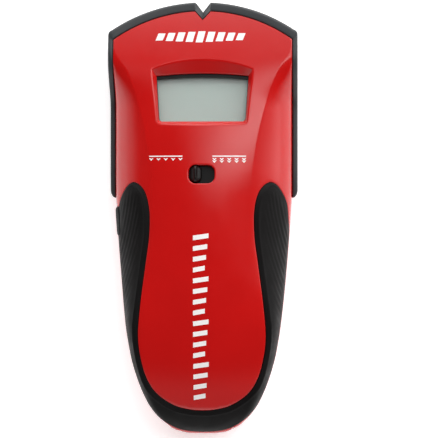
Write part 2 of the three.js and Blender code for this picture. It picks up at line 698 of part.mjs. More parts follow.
function housingScrew(x, y) {
  const head = post(x, y, 1.6, 3.4, 2.3, 2.6);
  const shank = post(x, y, 3.3, 17.6, 1.25, 1.1, 14);
  const cross = box(x - 0.3, x + 0.3, y - 1.3, y + 1.3, 0, 2.5)
    .add(box(x - 1.3, x + 1.3, y - 0.3, y + 0.3, 0, 2.5));
  return head.add(shank).subtract(cross);
}

// ---------------------------------------------------------------- materials

function material(color, roughness, metalness = 0) {
  return new THREE.MeshStandardMaterial({ color, roughness, metalness });
}

const redPlastic = material(0xc81a18, 0.25);
const bumperRubber = material(0x3c3e3f, 0.55);
const gripRubber = material(0x211f1f, 0.6);
const blackPlastic = material(0x1c1c1c, 0.4);
const clearPlastic = material(0xdfe8e4, 0.05);
clearPlastic.transparent = true;
clearPlastic.opacity = 0.3;
const lcdGlass = material(0xacb9b3, 0.3);
const whitePlastic = material(0xe8e6e0, 0.5);
const boardGreen = material(0x1e6a3c, 0.5);
const copper = material(0xc27a48, 0.35, 1);
const steel = material(0xb8bbbe, 0.3, 1);
const brass = material(0xc9a55a, 0.3, 1);
const foam = material(0x4a4a4c, 0.95);
const felt = material(0xd8d6d0, 0.95);
const redWire = material(0xc4201c, 0.5);
const chipBlack = material(0x18181a, 0.6);
const batteryWrap = material(0x30363c, 0.35);

// ---------------------------------------------------------------- assembly

const studFinder = new THREE.Group();
const displayGroup = new THREE.Group();
displayGroup.applyMatrix4(displayFrame);
const sliderGroup = new THREE.Group();
sliderGroup.applyMatrix4(sliderFrame);
studFinder.add(displayGroup, sliderGroup);

function add(name, manifold, look, parent = studFinder) {
  const mesh = new THREE.Mesh(geometryOf(mainBody(manifold)), look);
  mesh.name = name;
  parent.add(mesh);
}

// A point in the display frame, seen from the part's own frame.
const fromDisplay = (x, y, z) => new THREE.Vector3(x, y, z).applyMatrix4(displayFrame);

add('front_housing', frontHousing(), redPlastic);
add('rear_housing', rearHousing(), redPlastic);
add('head_bumper', headBumper(), bumperRubber);
add('grip_overmould', gripOvermould(), gripRubber);

add('display_gasket', displayGasket(), blackPlastic, displayGroup);
add('display_lens', displayLens(), clearPlastic, displayGroup);
add('lcd_panel', lcdPanel(), lcdGlass, displayGroup);
add('lcd_holder', lcdHolder(), whitePlastic, displayGroup);
add('elastomer_strip_upper', elastomerStrip(10.5), foam, displayGroup);
add('elastomer_strip_lower', elastomerStrip(-10.5), foam, displayGroup);
add('display_board', displayBoard(), boardGreen, displayGroup);
BOARD_SCREWS.forEach(([x, y], i) => {
  add(`display_board_screw_${i + 1}`, boardScrew(x, y), steel, displayGroup);
});
const underBoard = BOARD_BOTTOM - 0.1;
const crystalOutline = roundedRectangle(3.6, 9, 1.7, 12, -40);
add('controller_chip', box(-6, 6, -46, -34, underBoard - 1.4, underBoard), chipBlack, displayGroup);
add('quartz_crystal', prism(crystalOutline, underBoard - 3.3, underBoard, 4), steel, displayGroup);
const capacitorCan = post(-13, -40, underBoard - 5.5, underBoard, 2.5, 2.5, 18);
add('reservoir_capacitor', capacitorCan, blackPlastic, displayGroup);

add('mode_slider', modeSlider(), blackPlastic, sliderGroup);
add('mode_switch_body', modeSwitchBody(), steel, displayGroup);
add('mode_switch_lever', box(-1.1, 1.1, -1, 1, -6.9, -2), whitePlastic, sliderGroup);

add('power_button', powerButton(), gripRubber);
add('power_switch_body', powerSwitchBody(), chipBlack);
add('power_switch_plunger', rodAlongX(-23.4, -20.2, BUTTON_Y, SWITCH_Z, 0.9), whitePlastic);

const cell = blockAlongBattery(BATTERY.width, BATTERY.height, 1.8, BATTERY.tail, BATTERY.length);
add('battery', cell, batteryWrap);
add('battery_terminal_positive', batteryTerminal(-6.35, 2.9, 20), brass);
add('battery_terminal_negative', batteryTerminal(6.35, 4.1, 6), brass);
add('battery_snap', blockAlongBattery(25, 13.6, 3, snapY, SNAP_THICKNESS), blackPlastic);
const snapFaceY = snapY + SNAP_THICKNESS;
[['lead_positive', -1, redWire], ['lead_negative', 1, blackPlastic]].forEach(([name, side, look]) => {
  const end = fromDisplay(4 * side, -53.5, BOARD_BOTTOM - 0.2);
  const route = [
    [5 * side, snapFaceY + 0.3, batteryMiddleZ],
    [5 * side, snapFaceY + 4, batteryMiddleZ + 0.4],
    [4.6 * side, snapFaceY + 8.5, batteryMiddleZ + 2.4],
    [4.2 * side, end.y - 1, end.z - 4],
    [end.x, end.y, end.z],
  ];
  add(name, wire(route, 0.7), look);
});
add('battery_foam', box(-11, 11, -58, -36, 21.2, 26.4), foam);
add('battery_door', batteryDoor(), redPlastic);

add('sensor_board', sensorBoard(), boardGreen);
[['left', -13.5], ['centre', 0], ['right', 13.5]].forEach(([side, x]) => {
  const plate = box(x - 5.5, x + 5.5, 37, 68, SENSOR_BOTTOM - 0.4, SENSOR_BOTTOM - 0.1);
  add(`sensor_plate_${side}`, plate, copper);
});
SENSOR_POSTS.slice(0, 2).forEach(([x, y], i) => {
  add(`sensor_board_screw_${i + 1}`, sensorScrew(x, y), steel);
});
const onSensorBoard = SENSOR_TOP + 0.1;
add('sensor_chip', box(-4, 4, 54, 62, onSensorBoard, onSensorBoard + 1.3), chipBlack);
add('sensor_ribbon_socket', box(-7.5, 7.5, 36, 40, onSensorBoard, onSensorBoard + 2.5), whitePlastic);
const boardSocket = box(-7.5, 7.5, -16, -12, underBoard - 2.5, underBoard);
add('display_ribbon_socket', boardSocket, whitePlastic, displayGroup);
const ribbonEnd = fromDisplay(0, -16.4, BOARD_BOTTOM - 1.6);
add('ribbon_cable', ribbonCable([35.7, SENSOR_TOP + 1.3], [ribbonEnd.y, ribbonEnd.z]), whitePlastic);

add('buzzer_disc', post(0, 8, 3.8, 4.3, 8.6, 8.6, 28), brass);
add('pointer_led', pointerLed(), whitePlastic);
add('pointer_light_pipe', rod(0, 12, 78.2, 84.4, 1.45), clearPlastic);

HOUSING_SCREWS.forEach(([x, y], i) => add(`housing_screw_${i + 1}`, housingScrew(x, y), steel));

[['upper', 15, 48, 46], ['lower', 21.5, -42, 34]].forEach(([row, x, y, length]) => {
  [['left', -x], ['right', x]].forEach(([side, padX]) => {
    const pad = prism(roundedRectangle(6, length, 2.4, padX, y), 0, BASE_Z - 0.05, 4);
    add(`glide_pad_${row}_${side}`, pad, felt);
  });
});

export default studFinder;
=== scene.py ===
"""Looks of the stud finder: housings, rubber bumper and grip, slider, button, door, print and materials.

Shapes are worked out in millimetres from the same body formulas as the CAD part, and every piece is
written to its mesh in metres, in the CAD frame: +X to the user's right, +Y towards the sensing head,
+Z out of the display face.
"""

import json
import math

import bmesh
import bpy
import numpy as np
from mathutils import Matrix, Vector
from mathutils.geometry import delaunay_2d_cdt


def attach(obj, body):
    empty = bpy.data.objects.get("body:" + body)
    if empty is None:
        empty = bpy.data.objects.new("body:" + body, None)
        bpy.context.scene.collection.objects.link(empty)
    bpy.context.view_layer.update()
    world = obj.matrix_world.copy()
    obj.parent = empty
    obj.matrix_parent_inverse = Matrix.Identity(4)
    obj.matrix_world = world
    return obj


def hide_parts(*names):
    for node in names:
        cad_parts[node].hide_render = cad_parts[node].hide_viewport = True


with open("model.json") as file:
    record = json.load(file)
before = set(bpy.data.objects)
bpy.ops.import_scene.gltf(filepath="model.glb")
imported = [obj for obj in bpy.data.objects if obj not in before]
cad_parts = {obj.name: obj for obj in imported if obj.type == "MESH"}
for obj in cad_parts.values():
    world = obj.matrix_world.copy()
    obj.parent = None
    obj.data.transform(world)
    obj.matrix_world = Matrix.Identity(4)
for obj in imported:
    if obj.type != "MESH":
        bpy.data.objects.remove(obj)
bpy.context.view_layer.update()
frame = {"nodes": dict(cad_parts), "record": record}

MM = 0.001

# ------ dimensions shared with the CAD part

TAIL_Y = -89.05
SHELL_HALF = 36.6
SHOULDER_Y = 10.0
CREST_Y = -18.0
CREST_Z = 34.0
CROWN = 0.1
RIM_DROP = 0.3
BASE_Z = 0.6
FLOOR_TOP = 2.6
PARTING_Z = 9.0
SEAM = 0.2
SEAM_INSET = 0.3
SEAM_EASE = 0.25
WALL = 2.2

ARC_CENTRE_Y = 22.9
SHELL_ARC = 62.4
SHELL_NOTCH_SLOPE = 0.875
SHELL_NOTCH_Y = 81.6
BUMPER_ARC = 66.2
BUMPER_HALF = 38.9
BUMPER_FOOT_Y = 8.85
NOTCH_SLOPE = 0.74
NOTCH_Y = 85.1

DISPLAY_TILT = math.radians(8.7)
DISPLAY_Y = 48.8
DISPLAY_Z = 26.0
WINDOW = {"bottom": -9.1, "bottom_half": 17.7, "corner": 9.9, "corner_half": 18.9, "apex": 11.0}
RECESS = {"bottom": -11.1, "bottom_half": 18.8, "corner": 12.5, "corner_half": 20.9, "apex": 17.0}
RECESS_DEPTH = 2.9
WINDOW_LIP = -1.0

SLOT_Y = 18.2
SLOT_LENGTH = 10.6
SLOT_WIDTH = 7.5
SLOT_RADIUS = 2.9
SLIDER_TRAVEL = 5.0
SLIDER_TILT = math.radians(4.7)

BUTTON_Y = -1.0
BUTTON_Z = 17.6
BUTTON_LENGTH = 12.0
BUTTON_HEIGHT = 5.4
BUTTON_RADIUS = 2.6
BUTTON_FOOT = -3.5
BUTTON_GAP = 0.3
BUTTON_TOP = 0.72
BUTTON_HOLE_X = (-50, -20)

LIGHT_Z = 12.0
LIGHT_RADIUS = 1.8

DOOR_HALF = 14.6
DOOR_HINGE_Y = -17.0
DOOR_TAIL_Y = -76.0

HOUSING_SCREWS = [(28, 66), (-28, 66), (28, 20), (-28, 20), (0, -82)]

# ------ the body's surface


def smoothstep(x, low, high):
    t = np.clip((np.asarray(x, float) - low) / (high - low), 0, 1)
    return t * t * (3 - 2 * t)


def half_width(y):
    """Half width of the red housings at their widest height."""
    u = np.clip((SHOULDER_Y - y) / (SHOULDER_Y - TAIL_Y), 0, 1)
    waist = 1 - 0.027 * np.sin(np.pi * np.minimum(u / 0.69, 1))
    return SHELL_HALF * np.cbrt(1 - u * u) * waist


def head_height(y):
    """Height of the spine ahead of its crest."""
    return CREST_Z - 0.00115 * (y - CREST_Y) ** 2


def edge_height(y):
    """Height where the housings are widest: low on the handle, close under the spine at the front."""
    side = 12 + 2 * smoothstep(y, 0, 20)
    return side + (head_height(y) - RIM_DROP - side) * smoothstep(y, 46, 67)


def spine_height(y):
    u = np.clip((CREST_Y - y) / (CREST_Y - TAIL_Y), 0, 1)
    edge = edge_height(y)
    handle = edge + (CREST_Z - edge) * (1 - u**2.6) ** (1 / 2.2)
    return np.where(y >= CREST_Y, head_height(y), handle)


def crease_half(y):
    """Distance from the middle to the crease that edges the spine."""
    y = np.asarray(y, float)
    u = np.clip((y + 5) / 78, 0, 1.25)
    crease = 19.3 + 17 * u**2.3 + 2 * smoothstep(y, 60, 69) + 8 * smoothstep(-y, 4, 50)
    share = 0.84 + 0.15 * smoothstep(y, 10, 66)
    return np.minimum(crease, share * half_width(y))


# The skin's own coordinates are q across and s along, in millimetres. q is x on the spine and is
# stretched down the flanks; s is y, stretched over the last stretch of the blunt tail.
TAIL_STRETCH = 10.0
TAIL_S = TAIL_Y - 2 * TAIL_STRETCH


def y_of(s):
    t = np.clip((s - TAIL_S) / (3 * TAIL_STRETCH), 0, 1)
    return np.where(s < TAIL_Y + TAIL_STRETCH, TAIL_Y + TAIL_STRETCH * t**3, s)


def s_of(y):
    t = np.clip((y - TAIL_Y) / TAIL_STRETCH, 0, 1)
    return np.where(y < TAIL_Y + TAIL_STRETCH, TAIL_S + 3 * TAIL_STRETCH * np.cbrt(t), y)


def q_of(x, y):
    x, y = np.asarray(x, float), np.asarray(y, float)
    crease, half = crease_half(y), half_width(y)
    share = np.clip((np.abs(x) - crease) / np.maximum(half - crease, 1e-6), 0, 1)
    flank = crease + (half - crease) * np.arcsin(share) * 2 / np.pi
    return np.sign(x) * np.where(np.abs(x) <= crease, np.abs(x), flank)


def skin_point(q, s):
    y = y_of(s)
    half = np.maximum(half_width(y), 1e-4)
    crease = np.maximum(crease_half(y), 1e-5)
    edge = edge_height(y)
    rise = spine_height(y) - edge
    even = 2 * CROWN / (1 - CROWN) * (half / crease - 1)
    sharpness = even + (0.36 - even) * smoothstep(y, 0, 35)
    a = np.abs(q)
    angle = np.clip((a - crease) / (half - crease), 0, 1) * np.pi / 2
    drop = sharpness * np.sin(angle) + (1 - sharpness) * (1 - np.cos(angle))
    on_spine = a <= crease
    x = np.where(on_spine, a, crease + (half - crease) * np.sin(angle))
    z = edge + rise * np.where(on_spine, 1 - CROWN * (a / crease) ** 2, (1 - CROWN) * (1 - drop))
    return np.stack([np.sign(q) * x, y, z], -1)


def skin_slopes(qs):
    """The skin's two tangents at each point, by differences taken just inside its edge."""
    step = 1e-3
    q, s = qs[:, 0], np.maximum(qs[:, 1], TAIL_S + 0.2)
    limit = half_width(y_of(s)) - 3 * step
    q = np.clip(q, -limit, limit)
    across = skin_point(q + step, s) - skin_point(q - step, s)
    along = skin_point(q, s + step) - skin_point(q, s - step)
    return across / (2 * step), along / (2 * step)


def unit(vectors):
    return vectors / np.maximum(np.linalg.norm(vectors, axis=-1, keepdims=True), 1e-9)


def skin_normal(qs):
    across, along = skin_slopes(qs)
    return unit(np.cross(across, along))


def skin(qs, level=0.0):
    """Points at a height above the skin, for an array of (q, s)."""
    qs = np.asarray(qs, float)
    points = skin_point(qs[:, 0], qs[:, 1])
    if np.any(level):
        points = points + np.reshape(level, (-1, 1)) * skin_normal(qs)
    return points


def to_skin(xy):
    xy = np.asarray(xy, float)
    return np.stack([q_of(xy[:, 0], xy[:, 1]), s_of(xy[:, 1])], -1)


# ------ outlines


def loop_area(loop):
    x, y = loop[:, 0], loop[:, 1]
    return 0.5 * float(np.sum(x * np.roll(y, -1) - np.roll(x, -1) * y))


def counter_clockwise(loop):
    return loop if loop_area(loop) > 0 else loop[::-1]


def offset_flat(loop, distance):
    """A counter-clockwise plan loop moved outwards, with mitred corners."""
    before = unit(loop - np.roll(loop, 1, 0))
    after = unit(np.roll(loop, -1, 0) - loop)
    outward_before = np.stack([before[:, 1], -before[:, 0]], -1)
    outward_after = np.stack([after[:, 1], -after[:, 0]], -1)
    middle = unit(outward_before + outward_after)
    reach = np.maximum(np.sum(middle * outward_after, -1, keepdims=True), 0.3)
    return loop + np.reshape(distance, (-1, 1)) * middle / reach


def step_on_skin(loop, distance):
    """A counter-clockwise (q, s) loop moved outwards by a short distance along the skin."""
    across, along = skin_slopes(loop)
    tangent = np.roll(loop, -1, 0) - np.roll(loop, 1, 0)
    tangent = unit(tangent[:, :1] * across + tangent[:, 1:] * along)
    outward = unit(np.cross(tangent, unit(np.cross(across, along))))
    aa, ab, bb = (np.sum(u * v, -1) for u, v in ((across, across), (across, along), (along, along)))
    pa, pb = np.sum(outward * across, -1), np.sum(outward * along, -1)
    det = aa * bb - ab * ab
    step = np.stack([(bb * pa - ab * pb) / det, (aa * pb - ab * pa) / det], -1)
    return loop + np.reshape(distance, (-1, 1)) * step


def offset_on_skin(loop, distance):
    """A counter-clockwise (q, s) loop moved outwards by true millimetres along the skin, in short steps."""
    distance = np.asarray(distance, float)
    count = max(int(np.ceil(np.max(np.abs(distance)) / 0.4)), 1)
    for _ in range(count):
        loop = step_on_skin(loop, distance / count)
    return loop


def resample(points, spacing, closed=False):
    """Even steps along a polyline."""
    points = np.asarray(points, float)
    if closed:
        points = as_path(points)
    length = np.concatenate([[0], np.cumsum(np.linalg.norm(np.diff(points, axis=0), axis=1))])
    count = max(int(round(length[-1] / spacing)), 2)
    at = np.linspace(0, length[-1], count + 1)
    out = np.stack([np.interp(at, length, points[:, i]) for i in range(points.shape[1])], -1)
    return out[:-1] if closed else out


def spline(points, steps=12):
    """Catmull-Rom curve through a list of points."""
    p = np.asarray(points, float)
    p = np.vstack([2 * p[0] - p[1], p, 2 * p[-1] - p[-2]])
    t = np.linspace(0, 1, steps, endpoint=False)[:, None]
    parts = []
    for a, b, c, d in zip(p, p[1:], p[2:], p[3:]):
        bend, twist = 2 * a - 5 * b + 4 * c - d, 3 * b - a - 3 * c + d
        parts.append(0.5 * (2 * b + (c - a) * t + bend * t**2 + twist * t**3))
    return np.vstack(parts + [p[-2:-1]])


def rounded_rectangle(width, height, radius, x=0.0, y=0.0, steps=8):
    corners = [(1, -1, -90), (1, 1, 0), (-1, 1, 90), (-1, -1, 180)]
    loop = []
    for sx, sy, start in corners:
        for i in range(steps + 1):
            a = math.radians(start + 90 * i / steps)
            cx, cy = sx * (width / 2 - radius), sy * (height / 2 - radius)
            loop.append((x + cx + radius * math.cos(a), y + cy + radius * math.sin(a)))
    return np.array(loop)


def circle(x, y, radius, steps=32):
    a = np.linspace(0, 2 * np.pi, steps, endpoint=False)
    return np.stack([x + radius * np.cos(a), y + radius * np.sin(a)], -1)


def mirrored_loop(right):
    """A closed loop from its right half, which runs from the tail's middle to the head's middle."""
    left = right[1:-1][::-1] * [-1, 1]
    return np.vstack([right, left])


def shell_outline():
    """Plan of the red housings, counter-clockwise from the middle of the tail."""
    s = np.arange(TAIL_S, s_of(np.array(73.0)), 1.3)
    side = np.stack([half_width(y_of(s)), y_of(s)], -1)
    side[0, 0] = 0
    reach = math.acos(SHELL_HALF / SHELL_ARC)
    peak = (SHELL_ARC + ARC_CENTRE_Y - SHELL_NOTCH_Y) * SHELL_NOTCH_SLOPE
    a = np.linspace(reach, math.acos(peak / SHELL_ARC), 28)
    arc = np.stack([SHELL_ARC * np.cos(a), ARC_CENTRE_Y + SHELL_ARC * np.sin(a)], -1)
    side = side[side[:, 1] < arc[0, 1] - 1.8]
    return mirrored_loop(np.vstack([side, arc, [[0, SHELL_NOTCH_Y]]]))


# Grip edges on the right: the inner one from the tip to the tail's middle, the outer one below the tip.
GRIP_INNER = [
    (28, 15.2), (25.6, 13.9), (23.6, 11.5), (22.4, 8.5), (21.6, 4.6), (21.3, 0),
    (21.6, -8), (23.2, -20), (25.1, -35), (26.05, -47), (25.2, -56), (22.8, -64.8),
    (18.6, -71.4), (11.5, -76.3), (4.5, -78.1), (0, -78.4),
]
GRIP_SHOULDER = [(35.3, -2), (34.9, 4.5), (34.2, 7.8), (32.5, 11.3), (30.4, 14.0), (28, 15.2)]


def grip_margin(y):
    return 0.25 + 0.9 * smoothstep(-y, 76, 88)


def grip_outline():
    """Plan of the U-shaped grip as a (q, s) loop, with each point's share of being on the inner edge."""
    y = TAIL_Y + grip_margin(TAIL_Y) + 84 * (1 - np.cos(np.linspace(0, np.pi / 2, 90)))
    x = np.maximum(half_width(y - grip_margin(y)) - grip_margin(y), 0)
    outer = np.stack([x, y], -1)
    outer[0, 0] = 0
    outer = outer[outer[:, 1] < GRIP_SHOULDER[0][1] - 3]
    to_tip = np.vstack([outer, spline(GRIP_SHOULDER)[:-1]])
    right = to_skin(np.vstack([to_tip, spline(GRIP_INNER)]))
    length = np.concatenate([[0], np.cumsum(np.linalg.norm(np.diff(skin(right), axis=0), axis=1))])
    at = np.linspace(0, length[-1], int(length[-1] / 1.1))
    even = np.stack([np.interp(at, length, right[:, i]) for i in range(2)], -1)
    on_inner = smoothstep(at - length[len(to_tip)], -5, 6)
    loop = mirrored_loop(even)
    weight = np.concatenate([on_inner, on_inner[1:-1][::-1]])
    if loop_area(loop) < 0:
        return loop[::-1], weight[::-1]
    return loop, weight


# ------ meshes

# Points that round to the same step are one vertex. A fill's rows and the clear band beside its edges
# are shares of its spacing.
STEPS_PER_MM = 2000
ROW_PITCH = 0.866
EDGE_CLEARANCE = 0.6
BISECTIONS = 30


class Mesh:
    """Points and faces in millimetres; equal points are one vertex."""

    def __init__(self):
        self.points = []
        self.faces = []
        self.known = {}

    def vertex(self, point):
        key = tuple(int(round(c * STEPS_PER_MM)) for c in point)
        if key not in self.known:
            self.known[key] = len(self.points)
            self.points.append(tuple(float(c) for c in point))
        return self.known[key]

    def ring(self, points):
        return [self.vertex(p) for p in points]

    def face(self, corners):
        unique = list(dict.fromkeys(corners))
        if len(unique) > 2:
            self.faces.append(unique)

    def strips(self, rings):
        """Quads between closed rings of points with equal counts."""
        rings = [self.ring(r) for r in rings]
        for a, b in zip(rings, rings[1:]):
            for i in range(len(a)):
                j = (i + 1) % len(a)
                self.face([a[i], a[j], b[j], b[i]])

    def cap(self, points):
        """Triangles from the middle of a ring."""
        middle = self.vertex(np.mean(np.asarray(points), axis=0))
        ring = self.ring(points)
        for i in range(len(ring)):
            self.face([ring[i], ring[(i + 1) % len(ring)], middle])

    def solid(self, rings):
        """Rings with both ends capped."""
        self.strips(rings)
        self.cap(rings[0])
        self.cap(rings[-1])

    def patch(self, points, triangles):
        index = self.ring(points)
        for a, b, c in triangles:
            self.face([index[a], index[b], index[c]])

    def to_object(self, name, material, sharp=35.0):
        mesh = bpy.data.meshes.new(name)
        mesh.from_pydata([tuple(c * MM for c in p) for p in self.points], [], self.faces)
        bm = bmesh.new()
        bm.from_mesh(mesh)
        bmesh.ops.remove_doubles(bm, verts=bm.verts, dist=2e-6)
        bmesh.ops.dissolve_degenerate(bm, edges=bm.edges, dist=1e-6)
        bmesh.ops.recalc_face_normals(bm, faces=bm.faces)
        bm.to_mesh(mesh)
        bm.free()
        mesh.shade_smooth()
        mesh.set_sharp_from_angle(angle=math.radians(sharp))
        mesh.materials.append(material)
        obj = bpy.data.objects.new(name, mesh)
        bpy.context.scene.collection.objects.link(obj)
        return obj


def inside(points, loop):
    """Which points lie in a closed loop."""
    x, y = points[:, 0][:, None], points[:, 1][:, None]
    x0, y0 = loop[:, 0][None], loop[:, 1][None]
    x1, y1 = np.roll(loop[:, 0], -1)[None], np.roll(loop[:, 1], -1)[None]
    crosses = (y0 > y) != (y1 > y)
    at = x0 + (y - y0) * (x1 - x0) / np.where(y1 == y0, 1e-12, y1 - y0)
    return (np.sum(crosses & (x < at), axis=1) % 2) == 1


def as_path(loop):
    """A loop as a path that ends where it starts."""
    return np.vstack([loop, loop[:1]])


def distance_to(points, path):
    """Distance from points to the nearest segment of an open path, worked out in batches."""
    a, b = path[:-1][None], path[1:][None]
    nearest = []
    for batch in np.array_split(points, max(len(points) // 500, 1)):
        p = batch[:, None]
        t = np.clip(np.sum((p - a) * (b - a), -1) / np.maximum(np.sum((b - a) ** 2, -1), 1e-12), 0, 1)
        nearest.append(np.min(np.linalg.norm(p - (a + t[..., None] * (b - a)), axis=-1), axis=1))
    return np.concatenate(nearest)


def fill(boundary, holes=(), lines=(), spacing=1.2):
    """Triangles over a region of the plane, with even points inside: (points, triangles)."""
    low, high = boundary.min(0), boundary.max(0)
    rows = np.arange(low[1], high[1], spacing * ROW_PITCH)
    grid = []
    for i, row in enumerate(rows):
        xs = np.arange(low[0] + (i % 2) * spacing / 2, high[0], spacing)
        grid.append(np.stack([xs, np.full(len(xs), row)], -1))
    grid = np.vstack(grid)
    keep = inside(grid, boundary)
    for hole in holes:
        keep &= ~inside(grid, hole)
    grid = grid[keep]
    for path in [as_path(loop) for loop in (boundary, *holes)] + list(lines):
        grid = grid[distance_to(grid, path) > EDGE_CLEARANCE * spacing]
    points, edges = [], []
    for path, closed in [(loop, True) for loop in (boundary, *holes)] + [(line, False) for line in lines]:
        first = len(points)
        points.extend(map(tuple, path))
        count = len(path)
        edges.extend((first + i, first + (i + 1) % count) for i in range(count if closed else count - 1))
    points.extend(map(tuple, grid))
    made, _, faces, *_ = delaunay_2d_cdt([Vector(p) for p in points], edges, [], 0, 1e-5, False)
    made = np.array([tuple(v) for v in made])
    faces = np.array([list(f) for f in faces])
    centres = made[faces].mean(1)
    keep = inside(centres, boundary)
    for hole in holes:
        keep &= ~inside(centres, hole)
    return made, faces[keep]


def cut_hole(obj, ends, sharp):
    """Cuts a straight hole between two end rings out of a closed mesh."""
    cutter = Mesh()
    cutter.solid(ends)
    tool = cutter.to_object("hole_cutter", obj.data.materials[0])
    cut = obj.modifiers.new("hole", "BOOLEAN")
    cut.operation, cut.solver, cut.object = "DIFFERENCE", "EXACT", tool
    bpy.context.view_layer.update()
    result = bpy.data.meshes.new_from_object(obj.evaluated_get(bpy.context.evaluated_depsgraph_get()))
    obj.modifiers.remove(cut)
    result.shade_smooth()
    result.set_sharp_from_angle(angle=math.radians(sharp))
    obj.data = result
    bpy.data.objects.remove(tool)


def light_hole(start_y, end_y):
    """End rings of the pointer light's round hole, along Y on the middle line."""
    ring = circle(0, LIGHT_Z, LIGHT_RADIUS)
    return [np.stack([ring[:, 0], np.full(len(ring), y), ring[:, 1]], -1) for y in (start_y, end_y)]


def button_hole():
    """End rings of the power button's hole, along X through the left flank."""
    ring = button_outline(BUTTON_GAP)
    return [np.column_stack([np.full(len(ring), x), ring]) for x in BUTTON_HOLE_X]


# ------ materials


NOISE_RANGE = (0.3, 0.7)


class Nodes:
    """Adds shader nodes to a material or a world."""

    def __init__(self, owner):
        owner.use_nodes = True
        self.nodes, self.links = owner.node_tree.nodes, owner.node_tree.links

    def put(self, node, name, value):
        """Sets a node's input, or links it when the value is another node's output."""
        if isinstance(value, bpy.types.NodeSocket):
            self.links.new(value, node.inputs[name])
        else:
            node.inputs[name].default_value = value

    def add(self, kind, **inputs):
        """A new node; in the names of its inputs, underscores stand for spaces."""
        node = self.nodes.new("ShaderNode" + kind)
        for name, value in inputs.items():
            self.put(node, name.replace("_", " "), value)
        return node


class Look(Nodes):
    """A procedural material, fixed to the object's own coordinates."""

    def __init__(self, name):
        self.material = bpy.data.materials.new(name)
        super().__init__(self.material)
        self.place = self.add("TexCoord").outputs["Object"]

    def shade(self, **inputs):
        for name, value in inputs.items():
            self.put(self.nodes["Principled BSDF"], name.replace("_", " "), value)

    def noise(self, scale, detail=3.0, roughness=0.5, place=None):
        place = self.place if place is None else place
        texture = self.add("TexNoise", Scale=scale, Detail=detail, Roughness=roughness, Vector=place)
        return texture.outputs["Fac"]

    def spread(self, value, low, high):
        """Maps a noise value to a range."""
        node = self.add("MapRange", Value=value, To_Min=low, To_Max=high)
        self.put(node, "From Min", NOISE_RANGE[0])
        self.put(node, "From Max", NOISE_RANGE[1])
        return node.outputs["Result"]

    def tint(self, value, dark, light):
        """Maps a noise value to a colour between two."""
        node = self.add("ValToRGB", Fac=value)
        for stop, position, color in zip(node.color_ramp.elements, NOISE_RANGE, (dark, light)):
            stop.position = position
            stop.color = (*color, 1)
        return node.outputs["Color"]

    def bump(self, height, depth):
        """Fine relief, with its depth in metres."""
        self.shade(Normal=self.add("Bump", Strength=1.0, Distance=depth, Height=height).outputs["Normal"])


def scaled(color, factor):
    return tuple(c * factor for c in color)


def plastic(name, color, roughness, variation=0.05, grain=(2500, 4e-6), specular=0.5):
    """Moulded plastic or rubber: a fine grain, cloudy gloss and a slight change of tone."""
    look = Look(name)
    tone = look.tint(look.noise(60), scaled(color, 1 - variation), scaled(color, 1 + variation))
    smudge = look.spread(look.noise(140, detail=5, roughness=0.6), roughness * 0.85, roughness * 1.2)
    look.shade(Base_Color=tone, Roughness=smudge, Specular_IOR_Level=specular)
    look.bump(look.noise(grain[0], detail=2), grain[1])
    return look.material


def metal(name, color, roughness):
    """Metal with fine drawn lines."""
    look = Look(name)
    stretch = look.add("Mapping", Vector=look.place, Scale=(1, 18, 1))
    lines = look.noise(900, detail=2, place=stretch.outputs["Vector"])
    gloss = look.spread(lines, roughness * 0.8, roughness * 1.3)
    look.shade(Base_Color=look.tint(lines, scaled(color, 0.9), color), Roughness=gloss, Metallic=1.0)
    look.bump(lines, 3e-6)
    return look.material


def clear_plastic(name):
    """Thin clear plastic: see-through, with a slightly hazy gloss."""
    look = Look(name)
    look.shade(Base_Color=(0.9, 0.95, 0.93, 1), Alpha=0.12, Roughness=look.spread(look.noise(90), 0.02, 0.06))
    return look.material


def lcd_material(name):
    """Reflective display glass with a faint change of tone."""
    look = Look(name)
    tone = look.tint(look.noise(25, detail=1), (0.265, 0.345, 0.308), (0.28, 0.362, 0.323))
    look.shade(Base_Color=tone, Roughness=0.35)
    look.bump(look.noise(4000, detail=1), 1e-6)
    return look.material


RED = (0.5, 0.006, 0.0055)
SLOT_MATERIALS = {
    "shell_red": plastic("red_gloss_abs", RED, 0.15, variation=0.03, grain=(1800, 1.5e-6)),
    "bumper_rubber": plastic("bumper_rubber", (0.036, 0.039, 0.042), 0.42, grain=(2600, 1.2e-5),
                             specular=0.35),
    "grip_rubber": plastic("grip_rubber", (0.0048, 0.0042, 0.0042), 0.5, grain=(3000, 1.2e-5), specular=0.1),
    "black_plastic": plastic("black_plastic", (0.004, 0.0038, 0.0038), 0.35, specular=0.25),
    "lens_clear": clear_plastic("clear_plastic"),
    "lcd_grey": lcd_material("lcd_glass"),
    "white_plastic": plastic("white_plastic", (0.78, 0.77, 0.73), 0.4),
    "wire_red": plastic("wire_red", (0.5, 0.012, 0.01), 0.4),
    "board_green": plastic("board_green", (0.015, 0.12, 0.045), 0.3, variation=0.2, grain=(900, 1e-5)),
    "chip_black": plastic("chip_black", (0.012, 0.012, 0.013), 0.6, grain=(4000, 8e-6)),
    "foam": plastic("foam", (0.07, 0.07, 0.075), 0.95, variation=0.2, grain=(1500, 1.5e-4)),
    "felt": plastic("glide_felt", (0.62, 0.6, 0.56), 0.9, variation=0.1, grain=(2200, 6e-5)),
    "steel": metal("screw_steel", (0.6, 0.6, 0.61), 0.3),
    "brass": metal("brass", (0.72, 0.53, 0.25), 0.3),
    "copper": metal("copper", (0.72, 0.32, 0.17), 0.35),
    "battery_wrap": plastic("battery_wrap", (0.03, 0.035, 0.045), 0.25, grain=(1200, 2e-6)),
}
INK = plastic("white_ink", (0.86, 0.84, 0.83), 0.4, variation=0.02)

# ------ red front housing

FILLET = 0.4
FILLET_STEPS = 4
LIP_FILLET = 0.45
GRIP_SEAT = 1.7
outline = shell_outline()
grip_loop, grip_inner_share = grip_outline()


